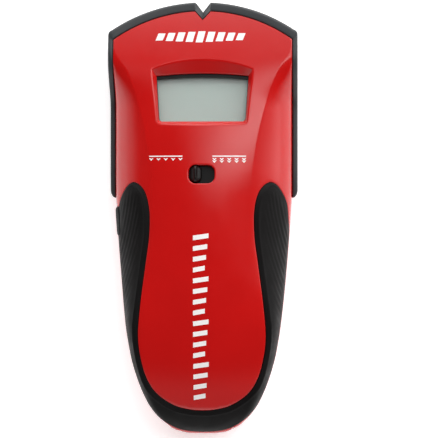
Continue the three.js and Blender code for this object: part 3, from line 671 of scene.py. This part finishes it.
def flat_ring(loop, z):
    """A plan loop at a height."""
    return np.hstack([loop, np.full((len(loop), 1), z)])


def fillet_rings(loop, radius, depth):
    """Rings that turn the skin's edge down into a hole, then a wall."""
    rings = []
    for a in np.linspace(0, np.pi / 2, FILLET_STEPS + 1):
        across = radius * (1 - math.sin(a))
        at = offset_on_skin(loop, across) if across else loop
        rings.append((at, skin(at, -radius * (1 - math.cos(a)))))
    rings.append((loop, skin(loop, -depth)))
    return rings


def tilted(points, tilt, origin):
    """Points of a frame that is tilted about X, in the part's frame."""
    c, s = math.cos(tilt), math.sin(tilt)
    x, y, z = np.moveaxis(np.asarray(points, float), -1, 0)
    return np.stack([origin[0] + x, origin[1] + y * c + z * s, origin[2] - y * s + z * c], -1)


def display_to_part(xy, z=0.0):
    """Points at a height in the display's frame, in the part's frame."""
    return tilted(flat_ring(xy, z), DISPLAY_TILT, (0, DISPLAY_Y, DISPLAY_Z))


def window_loop(share):
    """Window outline part way between the lens opening (0) and the recess's lip (1)."""
    mix = {key: WINDOW[key] + (RECESS[key] - WINDOW[key]) * share for key in WINDOW}
    radius = 1.4
    low, high = mix["bottom"], mix["corner"]
    low_half, high_half = mix["bottom_half"], mix["corner_half"]
    t = np.linspace(0, 1, 22)[:, None]
    control = np.array([[high_half, high], [0, 2 * mix["apex"] - high], [-high_half, high]])
    arch = (1 - t) ** 2 * control[0] + 2 * t * (1 - t) * control[1] + t**2 * control[2]
    a = np.linspace(0, np.pi / 2, 7)[:, None]
    turn = np.hstack([low_half - radius + radius * np.sin(a), low + radius - radius * np.cos(a)])
    bottom = np.stack([np.linspace(-low_half + radius, low_half - radius, 24)[1:-1], np.full(22, low)], -1)
    rise = np.linspace(0, 1, 16)[1:-1, None]
    right = turn[-1] + (arch[0] - turn[-1]) * rise
    left_turn = turn[::-1] * [-1, 1]
    left = right[::-1] * [-1, 1]
    return np.vstack([bottom, turn, right, arch, left, left_turn])


def recess_lip():
    """Where the flared sides of the window recess come out of the skin, and the rings below it."""
    foot = display_to_part(window_loop(0))
    above = display_to_part(window_loop(2), 2 * RECESS_DEPTH)
    low, high = np.zeros(len(foot)), np.full(len(foot), 1.5)
    for _ in range(BISECTIONS):
        middle = (low + high) / 2
        point = foot + (above - foot) * middle[:, None]
        height = skin_point(q_of(point[:, 0], point[:, 1]), s_of(point[:, 1]))[:, 2]
        under = point[:, 2] < height
        low, high = np.where(under, middle, low), np.where(under, high, middle)
    lip = foot + (above - foot) * low[:, None]
    return lip, foot


def clear_runs(line, outside, holes):
    """The stretches of a line that lie inside a loop and clear of it and of its holes."""
    clear = inside(line, outside)
    for hole in holes:
        clear &= ~inside(line, hole)
    for loop in (outside, *holes):
        clear &= distance_to(line, as_path(loop)) > 0.3
    runs = np.split(line, np.flatnonzero(np.diff(clear.astype(int))) + 1)
    return [run for run in runs[0 if clear[0] else 1::2] if len(run) > 2]


def crease_lines(outside, holes):
    """The two creases as lines on the skin, with lines close beside them."""
    s = np.arange(-14.0, 76.0, 0.8)
    lines = []
    for side in (1, -1):
        for beside in (-1.1, -0.35, 0, 0.35, 1.1):
            line = np.stack([side * (crease_half(s) + beside), s], -1)
            lines += clear_runs(line, outside, holes)
    return lines


def guard_lines(outside, holes):
    """Rings close around the holes, which keep the skin's shading even beside their edges."""
    lines = []
    for hole in holes:
        for distance in (0.35, 0.9):
            ring = offset_on_skin(hole, distance)
            lines += clear_runs(as_path(ring), outside, holes)
    return lines


def front_housing():
    """A closed shell: skin, rounded openings, window recess, grip seat and an inner face."""
    body = Mesh()
    lip, foot = recess_lip()
    lip_loop = to_skin(lip[:, :2])
    lip_rings = fillet_rings(lip_loop, LIP_FILLET, LIP_FILLET)[:2]
    slot_loop = to_skin(rounded_rectangle(SLOT_LENGTH, SLOT_WIDTH, SLOT_RADIUS, 0, SLOT_Y))
    slot_rings = fillet_rings(slot_loop, FILLET, WALL)
    grip_rings = fillet_rings(grip_loop, FILLET, GRIP_SEAT)
    edge = to_skin(outline)
    holes = [lip_rings[0][0], slot_rings[0][0], grip_rings[0][0]]
    lines = guard_lines(edge, holes[:2]) + crease_lines(edge, holes)
    points, triangles = fill(edge, holes, lines, spacing=1.1)
    body.patch(skin(points), triangles)
    body.strips([ring for _, ring in slot_rings])
    body.strips([ring for _, ring in grip_rings])

    points, triangles = fill(grip_loop, spacing=2.2)
    body.patch(skin(points, -GRIP_SEAT), triangles)

    under = display_to_part(window_loop(0), WINDOW_LIP)
    under_outer = display_to_part(offset_flat(window_loop(0), 1.5), WINDOW_LIP)
    behind = offset_on_skin(lip_loop, 2.0)
    wall = [lip + (foot - lip) * t for t in (0.04, 0.09, 0.3, 0.6, 0.9, 0.97)]
    round_foot = foot + (under - foot) * 0.15
    wall += [round_foot, under, under_outer, skin(behind, -WALL)]
    body.strips([ring for _, ring in lip_rings] + wall)

    inner_edge = to_skin(offset_flat(outline, -WALL))
    points, triangles = fill(inner_edge, [behind, slot_loop], spacing=3)
    body.patch(skin(points, -WALL), triangles)

    top = skin(edge)
    rings = [top]
    for share, inset in ((0.5, 0.05), (1.0, 0.1)):
        z = top[:, 2] + (PARTING_Z + SEAM + SEAM_EASE - top[:, 2]) * share
        rings.append(np.hstack([offset_flat(outline, -inset), z[:, None]]))
    inner_top = skin(inner_edge, -WALL)
    rings.append(flat_ring(offset_flat(outline, -SEAM_INSET), PARTING_Z + SEAM))
    rings.append(flat_ring(inner_top[:, :2], PARTING_Z + SEAM))
    rings.append(inner_top)
    body.strips(rings)
    return body


# ------ rear housing

FOOT_Z = 3.4
FOOT_INSET = 0.45
FOOT_ROUND = 2.4
DOOR_GAP = 0.25
OPENING_ROUND = 0.3
SCREW_SEAT_Z = 3.6
BAY_TOP = 13


def rounded_opening(loop, radius, top):
    """Rings of a hole in the underside with a rounded mouth, from its mouth up to a height."""
    loop = counter_clockwise(loop)
    rings = []
    for a in np.linspace(0, np.pi / 2, FILLET_STEPS + 1):
        mouth = offset_flat(loop, radius * (1 - math.sin(a)))
        rings.append(flat_ring(mouth, BASE_Z + radius * (1 - math.cos(a))))
    rings.append(flat_ring(loop, top))
    return rings


def rear_housing():
    """A closed shell: rounded underside, battery opening and screw pillars."""
    body = Mesh()
    inner = offset_flat(outline, -WALL)
    rings = [flat_ring(inner, FLOOR_TOP), flat_ring(inner, PARTING_Z)]
    sides = [(SEAM_INSET, PARTING_Z), (0.1, PARTING_Z - SEAM_EASE), (FOOT_INSET, FOOT_Z)]
    for a in np.linspace(0, np.pi / 2, 8)[1:]:
        sides.append((FOOT_INSET + FOOT_ROUND * (1 - math.cos(a)), FOOT_Z - (FOOT_Z - BASE_Z) * math.sin(a)))
    body.strips(rings + [flat_ring(offset_flat(outline, -inset), z) for inset, z in sides])

    width, length = 2 * (DOOR_HALF + DOOR_GAP), DOOR_HINGE_Y - DOOR_TAIL_Y + 2 * DOOR_GAP
    door = rounded_rectangle(width, length, 2.2, 0, (DOOR_HINGE_Y + DOOR_TAIL_Y) / 2)
    openings = [rounded_opening(door, OPENING_ROUND, FLOOR_TOP)]
    pillars = []
    for x, y in HOUSING_SCREWS:
        counterbore = rounded_opening(circle(x, y, 3.1), OPENING_ROUND, SCREW_SEAT_Z)
        bore = [flat_ring(circle(x, y, 1.55), z) for z in (SCREW_SEAT_Z, PARTING_Z - 0.1)]
        pillar = [flat_ring(circle(x, y, r), z) for r, z in ((4.2, PARTING_Z - 0.1), (4.5, FLOOR_TOP))]
        openings.append(counterbore + bore + pillar)
        pillars.append(circle(x, y, 4.5))
    for rings in openings:
        body.strips(rings)
    mouths = [rings[0][:, :2] for rings in openings]
    points, triangles = fill(offset_flat(outline, -FOOT_INSET - FOOT_ROUND), mouths, spacing=5)
    body.patch(flat_ring(points, BASE_Z), triangles)
    points, triangles = fill(inner, [counter_clockwise(door)] + pillars, spacing=5)
    body.patch(flat_ring(points, FLOOR_TOP), triangles)
    return body


def battery_bay():
    """The U of ribs that holds the battery, seen when its door is open."""
    bay = Mesh()
    inner, outer, head = 15, 16.2, -16
    inner_tail, outer_tail = DOOR_TAIL_Y - 0.3, DOOR_TAIL_Y - 1.4
    plan = [(inner, head), (outer, head), (outer, outer_tail), (-outer, outer_tail), (-outer, head),
            (-inner, head), (-inner, inner_tail), (inner, inner_tail)]
    loop = counter_clockwise(resample_sides(plan, 3))
    points, triangles = fill(loop, spacing=4)
    levels = (FLOOR_TOP - 0.1, BAY_TOP)
    for z in levels:
        bay.patch(flat_ring(points, z), triangles)
    bay.strips([flat_ring(loop, z) for z in levels])
    return bay


# ------ grip

GRIP_GAP = 0.12
GRIP_FOOT = -1.55
GRIP_EDGE = 0.25
GRIP_PROUD = 0.65
RIDGE_PITCH = 1.4


def grip_level(points, outer_edge):
    """Height of the grip's face above the red skin: low along the outer edge, standing prouder elsewhere."""
    flat = skin(points)
    distance = np.concatenate([
        np.min(np.linalg.norm(part[:, None] - outer_edge[None], axis=-1), axis=1)
        for part in np.array_split(flat, max(len(flat) // 400, 1))
    ])
    return GRIP_EDGE + (GRIP_PROUD - GRIP_EDGE) * smoothstep(distance, 0, 5)


def ridge_height(points, edge_distance):
    """Fine curved ridges that fan out from the thumb rest."""
    flat = skin(points)
    x, y = np.abs(flat[:, 0]), flat[:, 1]
    lean = 0.036 * np.maximum(13 - y, 0) ** 1.5
    wave = np.sin(2 * np.pi * (x - lean) / RIDGE_PITCH)
    strength = smoothstep(edge_distance, 0.6, 2.2) * smoothstep(y, -74, -60)
    return 0.1 * wave * strength


def grip():
    """A closed U: a rounded rim round a ridged face, and its hidden underside."""
    rubber = Mesh()
    loop = offset_on_skin(grip_loop, -GRIP_GAP)
    weight = grip_inner_share
    band = 0.7 + 1.0 * weight
    outer_edge = skin(loop)[weight < 0.5]
    inner = offset_on_skin(loop, -band * 1.35)
    field = grip_level(inner, outer_edge)
    crest = 0.16 * weight
    profile = [(0.0, GRIP_FOOT, 0), (0.0, -0.05, 0), (0.06, 0.10, 0), (0.2, 0.22, 0), (0.8, 0.88, 0.5),
               (0.92, 0.98, 0.9), (1.0, 1.0, 1.0), (1.12, 1.0, 0.8)]
    rings = []
    for share, rise, ridge in profile:
        at = offset_on_skin(loop, -band * share) if share else loop
        level = field * rise + crest * ridge if rise > 0 else np.full(len(loop), rise)
        rings.append(skin(at, level))
    rings.append(skin(inner, field))
    rubber.strips(rings)
    points, triangles = fill(inner, spacing=0.42)
    button = button_loop(BUTTON_GAP)
    edge_distance = np.minimum(distance_to(points, as_path(inner)), distance_to(points, as_path(button)))
    level = grip_level(points, outer_edge) + ridge_height(points, edge_distance)
    rubber.patch(skin(points, level), triangles)
    points, triangles = fill(loop, spacing=2.2)
    rubber.patch(skin(points, GRIP_FOOT), triangles)
    return rubber


# ------ power button


def button_outline(grow=0.0):
    """The button's outline seen along X, as a (y, z) loop."""
    flat = rounded_rectangle(BUTTON_LENGTH, BUTTON_HEIGHT, BUTTON_RADIUS, BUTTON_Y, BUTTON_Z, 10)
    return offset_flat(counter_clockwise(resample(flat, 0.7, closed=True)), grow)


def button_loop(grow=0.0, level=0.0):
    """The (q, s) loop, at a level over the skin, of the button's outline as it is seen along X."""
    flat = button_outline(grow)[::-1]
    low, high = np.zeros(len(flat)), half_width(flat[:, 0])
    for _ in range(BISECTIONS):
        middle = (low + high) / 2
        above = skin(np.stack([-middle, flat[:, 0]], -1), level)[:, 2] > flat[:, 1]
        low, high = np.where(above, middle, low), np.where(above, high, middle)
    return np.stack([-low, flat[:, 0]], -1)


def button_ring(grow, level):
    """A ring of points at a level over the skin, in line along X with the button's outline."""
    return skin(button_loop(grow, level), level)


def power_button():
    """A rubber cap with a rounded edge and slanted ribs."""
    cap = Mesh()
    foot = button_ring(0, BUTTON_FOOT)
    edge = [button_ring(-inwards, BUTTON_TOP - drop)
            for inwards, drop in ((0, 0.5), (0.1, 0.2), (0.35, 0.04), (0.8, 0))]
    cap.strips([foot] + edge)
    inner = button_loop(-0.8, BUTTON_TOP)
    points, triangles = fill(inner, spacing=0.35)
    along = points[:, 0] * 0.7 + points[:, 1] * 0.7
    fade = smoothstep(distance_to(points, as_path(inner)), 0.1, 0.9)
    ribs = 0.11 * np.sin(2 * np.pi * along / RIDGE_PITCH) * fade
    cap.patch(skin(points, BUTTON_TOP + ribs), triangles)
    cap.cap(foot)
    return cap


# ------ bumper

BUMPER_GAP = 0.2
BUMPER_FOOT_REACH = 3.4
BUMPER_CORNER = 2.0
BUMPER_BASE_Z = 3.0


def bumper_stations():
    """Inner and outer plan points of the bumper's right half, from the foot to the notch's middle."""
    inner, outer = [], []
    inner_half, shell_arc = SHELL_HALF + BUMPER_GAP, SHELL_ARC + BUMPER_GAP
    inner_notch = SHELL_NOTCH_Y + 0.15
    for t in np.linspace(0.04, 1, 9) ** 1.6:
        y = BUMPER_FOOT_Y + BUMPER_FOOT_REACH * t
        inner.append((inner_half, y))
        outer.append((inner_half + (BUMPER_HALF - inner_half) * math.sqrt(1 - (1 - t) ** 2), y))
    inner_reach = math.acos(inner_half / shell_arc)
    inner_top = ARC_CENTRE_Y + shell_arc * math.sin(inner_reach)
    outer_reach = math.acos(BUMPER_HALF / BUMPER_ARC)
    outer_top = ARC_CENTRE_Y + BUMPER_ARC * math.sin(outer_reach)
    for y in np.linspace(BUMPER_FOOT_Y + BUMPER_FOOT_REACH + 2, inner_top - 1.2, 26):
        inner.append((inner_half, y))
        outer.append((BUMPER_HALF, y + (outer_top - inner_top - 0.8) * smoothstep(y, 60, inner_top)))
    centre = (BUMPER_HALF - BUMPER_CORNER, outer_top - BUMPER_CORNER * 0.45)
    for t in np.linspace(0, 1, 7):
        turn = outer_reach * t
        outer.append((centre[0] + BUMPER_CORNER * math.cos(turn), centre[1] + BUMPER_CORNER * math.sin(turn)))
        climb = 0.5 * min(2 * t, 1) + 0.25 * max(2 * t - 1, 0)
        inner.append((inner_half - 0.35 * t * t, inner_top - 0.5 + climb))
    peak = (BUMPER_ARC + ARC_CENTRE_Y - NOTCH_Y) * NOTCH_SLOPE
    inner_peak = (shell_arc + ARC_CENTRE_Y - inner_notch) * SHELL_NOTCH_SLOPE
    start = math.atan2(outer[-1][1] - ARC_CENTRE_Y, outer[-1][0])
    end = math.acos((peak + 0.7) / BUMPER_ARC)
    inner_start = math.atan2(inner[-1][1] - ARC_CENTRE_Y, inner[-1][0])
    inner_end = math.acos(inner_peak / shell_arc)
    for t in np.linspace(0, 1, 36)[1:]:
        a, b = start + (end - start) * t, inner_start + (inner_end - inner_start) * t
        outer.append((BUMPER_ARC * math.cos(a), ARC_CENTRE_Y + BUMPER_ARC * math.sin(a)))
        inner.append((shell_arc * math.cos(b), ARC_CENTRE_Y + shell_arc * math.sin(b)))
    arc_count = len(outer)
    tip = np.array(outer[-1])
    elbow = np.array([peak, NOTCH_Y + peak / NOTCH_SLOPE])
    into = elbow + (np.array([0, NOTCH_Y]) - elbow) * 0.16
    for t in np.linspace(0, 1, 5)[1:]:
        outer.append((1 - t) ** 2 * tip + 2 * t * (1 - t) * elbow + t * t * into)
        inner.append(inner[-1])
    apex, inner_apex = np.array([0, NOTCH_Y]), np.array([0, inner_notch])
    last, inner_last = np.array(outer[-1]), np.array(inner[-1])
    for t in np.linspace(0, 1, 8)[1:]:
        outer.append(last + (apex - last) * t)
        inner.append(inner_last + (inner_apex - inner_last) * t)
    groove = np.zeros(len(outer))
    groove[arc_count:] = np.clip(np.linspace(0.0, 1.0, len(outer) - arc_count) * 2.5, 0, 1)
    return np.array(inner), np.array(outer), groove


def head_bumper():
    """A closed U swept round the head, level with the housing's edge and dipped at the notch."""
    rubber = Mesh()
    inner, outer, groove = bumper_stations()
    seam_height = skin(to_skin(inner * [SHELL_HALF / (SHELL_HALF + BUMPER_GAP), 1]))[:, 2]
    leg = smoothstep(-inner[:, 1], -76, -71)
    width = np.linalg.norm(outer - inner, axis=1)
    rings = []
    for p_in, p_out, top, wide, is_leg, dip in zip(inner, outer, seam_height, width, leg, groove):
        radius = min(1.0, 0.45 * wide)
        chamfer, sink = 2.6 * dip, 0.1 * is_leg
        section = [(-0.3, BUMPER_BASE_Z), (-0.3, top - 2.4), (0, top - 2.1), (0, top - 0.5),
                   (0.12, top - 0.18), (0.35, top), (0.35 + 0.3 * (1 - dip), top),
                   (max(wide - radius, 0.4), top - chamfer * 0.8 - sink)]
        for turn in np.radians((22, 45, 68, 90)):
            drop = radius * (1 - math.cos(turn)) * (1 - 0.6 * dip)
            section.append((wide - radius + radius * math.sin(turn), top - chamfer - sink - drop))
        section += [(wide, BUMPER_BASE_Z + 0.9), (wide - 0.25, BUMPER_BASE_Z + 0.25),
                    (wide - 0.8 * min(wide, 1), BUMPER_BASE_Z)]
        direction = (p_out - p_in) / max(wide, 1e-6)
        ring = [(*(p_in + direction * min(f, wide)), z) for f, z in section]
        rings.append(np.array(ring))
    rubber.solid(rings + [ring * [-1, 1, 1] for ring in rings[-2::-1]])
    return rubber


# ------ slider

KNOB_LENGTH = 6.5
KNOB_WIDTH = 4.6
KNOB_RADIUS = 1.9
KNOB_HOLLOW = 3.4
KNOB_LINE = np.linspace(-2.5, 2.5, 18)
PLATE_TOP = -0.5


def slider_to_part(points):
    """Points of the slider's frame at its rest place, in the part's frame."""
    base = float(spine_height(np.array(SLOT_Y))) - WALL
    return tilted(points, SLIDER_TILT, (-SLIDER_TRAVEL / 2, SLOT_Y, base))


def rounded_stack(width, height, radius, levels, x=0.0, y=0.0):
    """Rings of a rounded block from (inset, z) pairs."""
    rings = []
    for inset, z in levels:
        loop = rounded_rectangle(width - 2 * inset, height - 2 * inset, max(radius - inset, 0.15), x, y, 10)
        rings.append(flat_ring(loop, z))
    return rings


def mode_slider():
    """A plate with a thumb knob: a crest across the slide with a hollow on each side of it."""
    knob = Mesh()
    plate = rounded_stack(16.4, 10.4, 2, [(0.2, -1.7), (0, -1.5), (0, -0.7), (0.2, PLATE_TOP)])
    knob.strips([slider_to_part(r) for r in plate])
    knob.cap(slider_to_part(plate[0]))
    foot = rounded_rectangle(5.0, 6.9, 2.1, steps=10)
    points, triangles = fill(plate[-1][:, :2], [foot], spacing=1.5)
    knob.patch(slider_to_part(flat_ring(points, PLATE_TOP)), triangles)

    def crest_height(plan):
        x, y = np.abs(plan[:, 0]), np.abs(plan[:, 1])
        reach = np.clip(KNOB_HOLLOW - x, 0, KNOB_HOLLOW)
        hollow = KNOB_HOLLOW + 1.2 - np.sqrt(KNOB_HOLLOW**2 - reach**2)
        return np.minimum(hollow, 3.2) - 0.5 * smoothstep(y, 1.8, 3.4)

    side = rounded_rectangle(KNOB_WIDTH, KNOB_LENGTH, KNOB_RADIUS, steps=10)
    rings = [flat_ring(foot, PLATE_TOP), flat_ring(side, PLATE_TOP + 0.25)]
    for inset, drop in ((0, 0.45), (0.06, 0.25), (0.2, 0.08), (0.4, 0.0)):
        width, length = KNOB_WIDTH - 2 * inset, KNOB_LENGTH - 2 * inset
        plan = rounded_rectangle(width, length, KNOB_RADIUS - inset, steps=10)
        rings.append(np.hstack([plan, (crest_height(plan) - drop)[:, None]]))
    knob.strips([slider_to_part(r) for r in rings])
    middle_line = np.stack([0 * KNOB_LINE, KNOB_LINE], -1)
    points, triangles = fill(rings[-1][:, :2], lines=[middle_line], spacing=0.28)
    knob.patch(slider_to_part(np.hstack([points, crest_height(points)[:, None]])), triangles)
    for x in (-2.0, 2.0):
        fork = rounded_stack(1.2, 3.2, 0.2, [(0, -4.4), (0, -1.6)], x)
        knob.solid([slider_to_part(r) for r in fork])
    return knob


# ------ battery door


def door_block(door, width, length, x, y, low, high):
    """A small block with eased edges, for the latch and the hinge hooks."""
    levels = [(0, low), (0, high - 0.2), (0.06, high - 0.06), (0.2, high)]
    door.solid(rounded_stack(width, length, 0.35, levels, x, y))


def battery_door():
    """A plate with a ribbed thumb scoop, a latch at its tail end and two hooks at its hinge end."""
    door = Mesh()
    middle = (DOOR_HINGE_Y + DOOR_TAIL_Y) / 2
    width, length = 2 * DOOR_HALF, DOOR_HINGE_Y - DOOR_TAIL_Y
    scoop_y = DOOR_TAIL_Y + 8
    levels = [(0.3, BASE_Z), (0.09, BASE_Z + 0.09), (0, BASE_Z + 0.3), (0, FLOOR_TOP)]
    edge = rounded_stack(width, length, 2, levels, 0, middle)
    scoop_levels = [(-0.25, 0), (-0.05, 0.08), (0.05, 0.25), (0.5, 0.62), (1.0, 0.7)]
    scoop = rounded_stack(18, 9, 3, [(inset, BASE_Z + rise) for inset, rise in scoop_levels], 0, scoop_y)
    points, triangles = fill(edge[0][:, :2], [scoop[0][:, :2]], spacing=5)
    door.patch(flat_ring(points, BASE_Z), triangles)
    door.strips(edge)
    door.cap(edge[-1])
    door.strips(scoop)
    door.cap(scoop[-1])
    ridge_levels = [(0, BASE_Z + 0.9), (0, BASE_Z + 0.3), (0.12, BASE_Z + 0.15), (0.35, BASE_Z + 0.08)]
    for step in (-2.4, 0, 2.4):
        ridge = rounded_stack(12, 1.1, 0.5, ridge_levels, 0, scoop_y + step)
        door.solid(ridge)
    door_block(door, 12, 1.2, 0, DOOR_TAIL_Y + 1, FLOOR_TOP - 0.2, 7)
    for x in (-9, 9):
        door_block(door, 5, 2.8, x, DOOR_HINGE_Y - 1.6, FLOOR_TOP - 0.2, 4.2)
        door_block(door, 5, 3.0, x, DOOR_HINGE_Y + 0.5, FLOOR_TOP + 0.4, 4.2)
    return door


# ------ printed marks

INK_LEVELS = (0.035, -0.03)


def slab(ink, corners, spacing=0.9):
    """A thin layer of ink on the spine, over a plan polygon."""
    loop = counter_clockwise(resample_sides(corners, spacing))
    points, triangles = fill(loop, spacing=spacing)
    for level in INK_LEVELS:
        ink.patch(skin(to_skin(points), level), triangles)
    ink.strips([skin(to_skin(loop), level) for level in INK_LEVELS])


def resample_sides(corners, spacing):
    """Even steps along each side of a polygon, keeping its corners."""
    corners = np.asarray(corners, float)
    sides = [resample([a, b], spacing)[:-1] for a, b in zip(corners, np.roll(corners, -1, 0))]
    return np.vstack(sides)


def slanted_bar(x, y, width, height, lean):
    """A bar's corners from its middle; lean moves its upper side along X."""
    w, h, shift = width / 2, height / 2, lean / 2
    return [(x - w - shift, y - h), (x + w - shift, y - h), (x + w + shift, y + h), (x - w + shift, y + h)]


def chevron(ink, x, y):
    """A small arrowhead that points down the handle."""
    corners = [(-0.9, 0), (-0.35, 0), (0, -0.4), (0.35, 0), (0.9, 0), (0, -1.0)]
    slab(ink, [(x + dx, y + dy) for dx, dy in corners], spacing=0.4)


def printed_marks():
    """Plain marks in place of lettering: a signal graph, a handle stripe of bars, and two depth signs."""
    ink = Mesh()
    for i in range(-4, 5):
        height = 4.6 - 0.42 * abs(i)
        slab(ink, slanted_bar(-0.8 + 4.1 * i, 74.6, 2.9, height, 1.2))
    for i in range(16):
        y = -6.2 - 4.35 * i
        width = 2.9 - 1.5 * (i % 4) / 3
        slab(ink, [(width, y + 0.4), (width, y - 1.5), (-3.4, y - 2.4), (-3.4, y - 0.5)])
    for x, count in ((-14.6, 1), (11.2, 2)):
        slab(ink, slanted_bar(x, 25.5, 13.6, 0.45, 0))
        for place in range(-2, 3):
            for step in range(count):
                chevron(ink, x + 3.0 * place, 24.7 - 0.95 * step)
    return ink


# ------ pieces in place


def place(mesh, name, body, slot, *nodes, sharp=35, holes=(), material=None):
    """Puts a piece on its body, with its holes cut, in place of the CAD nodes that it stands for."""
    obj = mesh.to_object(name, material or SLOT_MATERIALS[slot], sharp)
    for ends in holes:
        cut_hole(obj, ends, sharp)
    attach(obj, body)
    if nodes:
        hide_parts(*nodes)


place(front_housing(), "front_housing_skin", "body", "shell_red", "front_housing",
      holes=[light_hole(76, 84), button_hole()])
place(rear_housing(), "rear_housing_skin", "body", "shell_red", "rear_housing")
place(battery_bay(), "battery_bay_ribs", "body", "shell_red")
place(grip(), "grip_rubber_skin", "body", "grip_rubber", "grip_overmould", sharp=60, holes=[button_hole()])
place(head_bumper(), "bumper_skin", "body", "bumper_rubber", "head_bumper", sharp=50,
      holes=[light_hole(80, 92)])
place(power_button(), "power_button_cap", "power_button", "grip_rubber", "power_button", sharp=60)
place(mode_slider(), "mode_slider_knob", "mode_slider", "black_plastic", "mode_slider")
place(battery_door(), "battery_door_panel", "battery_door", "shell_red", "battery_door")
place(printed_marks(), "printed_marks", "body", "white_plastic", material=INK)

for name in ("upper_left", "upper_right", "lower_left", "lower_right"):
    eased = frame["nodes"]["glide_pad_" + name].modifiers.new("eased_edges", "BEVEL")
    eased.width, eased.segments, eased.limit_method = 0.15 * MM, 3, "ANGLE"

for row in frame["record"]["subparts"]:
    node = frame["nodes"][row["node"]]
    node.data.materials.clear()
    node.data.materials.append(SLOT_MATERIALS[row["material_slot"]])

# ------ floor, light and camera

FLOOR_REACH = 3.0
FRAME_WIDTH = 0.1815
SENSOR_WIDTH = 36
DISTANCE = 0.8
CAMERA_SIDE = math.radians(2.4)
AIM = Vector((0.0069, 0.0, 0.018))

floor_mesh = bpy.data.meshes.new("floor")
floor_corners = [(x * FLOOR_REACH, y * FLOOR_REACH, 0) for x, y in ((-1, -1), (1, -1), (1, 1), (-1, 1))]
floor_mesh.from_pydata(floor_corners, [], [(0, 1, 2, 3)])
floor_paper = plastic("floor_paper", (0.93, 0.93, 0.93), 0.9, variation=0.005)
floor_shader = floor_paper.node_tree.nodes["Principled BSDF"]
floor_shader.inputs["Emission Color"].default_value = (1, 1, 1, 1)
floor_shader.inputs["Emission Strength"].default_value = 0.5
floor_mesh.materials.append(floor_paper)
floor = bpy.data.objects.new("floor", floor_mesh)
bpy.context.scene.collection.objects.link(floor)


def studio():
    """Soft room: dark overhead, a window high at the front right, and pale walls low down."""
    world = bpy.data.worlds.new("studio")
    sky = Nodes(world)
    split = sky.add("SeparateXYZ", Vector=sky.add("TexCoord").outputs["Generated"])
    x, y, z = split.outputs

    def combined(operation, values):
        total = values[0]
        for value in values[1:]:
            node = sky.add("Math")
            node.operation = operation
            sky.put(node, 0, total)
            sky.put(node, 1, value)
            total = node.outputs["Value"]
        return total

    def times(*values):
        return combined("MULTIPLY", values)

    def step(value, start, stop, low, high):
        """Goes smoothly from low to high while a value goes from start to stop."""
        node = sky.add("MapRange", Value=value, From_Min=start, From_Max=stop, To_Min=low, To_Max=high)
        node.interpolation_type = "SMOOTHSTEP"
        return node.outputs["Result"]

    low_walls = times(step(z, 0.05, 0.5, 1.2, 0.04), step(x, -0.9, 0.9, 0.8, 0.88))
    tail_walls = times(step(y, -0.65, -0.4, 1, 0), step(z, 0.12, 0.25, 0, 1), step(z, 0.35, 0.6, 1.6, 0.3))
    high_walls = times(step(x, -0.5, 0.6, 0.1, 1.5), step(y, -0.2, 0.2, 0, 1), step(z, 0.3, 0.95, 1, 0))
    window_width = times(step(x, -0.2, 0.27, 0, 1), step(x, 0.42, 0.6, 1, 0.25))
    window_height = times(step(y, 0.13, 0.2, 0, 4.5), step(y, 0.25, 0.42, 1, 0.35), step(y, 0.5, 0.6, 1, 0))
    window = times(window_width, window_height, step(z, 0.0, 0.3, 0, 1))
    front = times(step(y, 0.45, 0.65, 0, 3.0), step(z, 0.1, 0.3, 0, 1))
    background = sky.nodes["Background"]
    sky.put(background, "Color", (1, 1, 1, 1))
    sky.put(background, "Strength", combined("ADD", (low_walls, high_walls, tail_walls, window, front)))
    bpy.context.scene.world = world


studio()
bpy.context.scene.view_settings.view_transform = "Standard"

camera_data = bpy.data.cameras.new("camera")
camera = bpy.data.objects.new("camera", camera_data)
bpy.context.scene.collection.objects.link(camera)
camera_data.sensor_width = SENSOR_WIDTH
camera_data.lens = SENSOR_WIDTH * DISTANCE / FRAME_WIDTH
camera.location = AIM + Vector((math.sin(CAMERA_SIDE), 0, math.cos(CAMERA_SIDE))) * DISTANCE
camera.rotation_euler = (0, CAMERA_SIDE, 0)
camera_data.clip_start = 0.05
bpy.context.scene.camera = camera
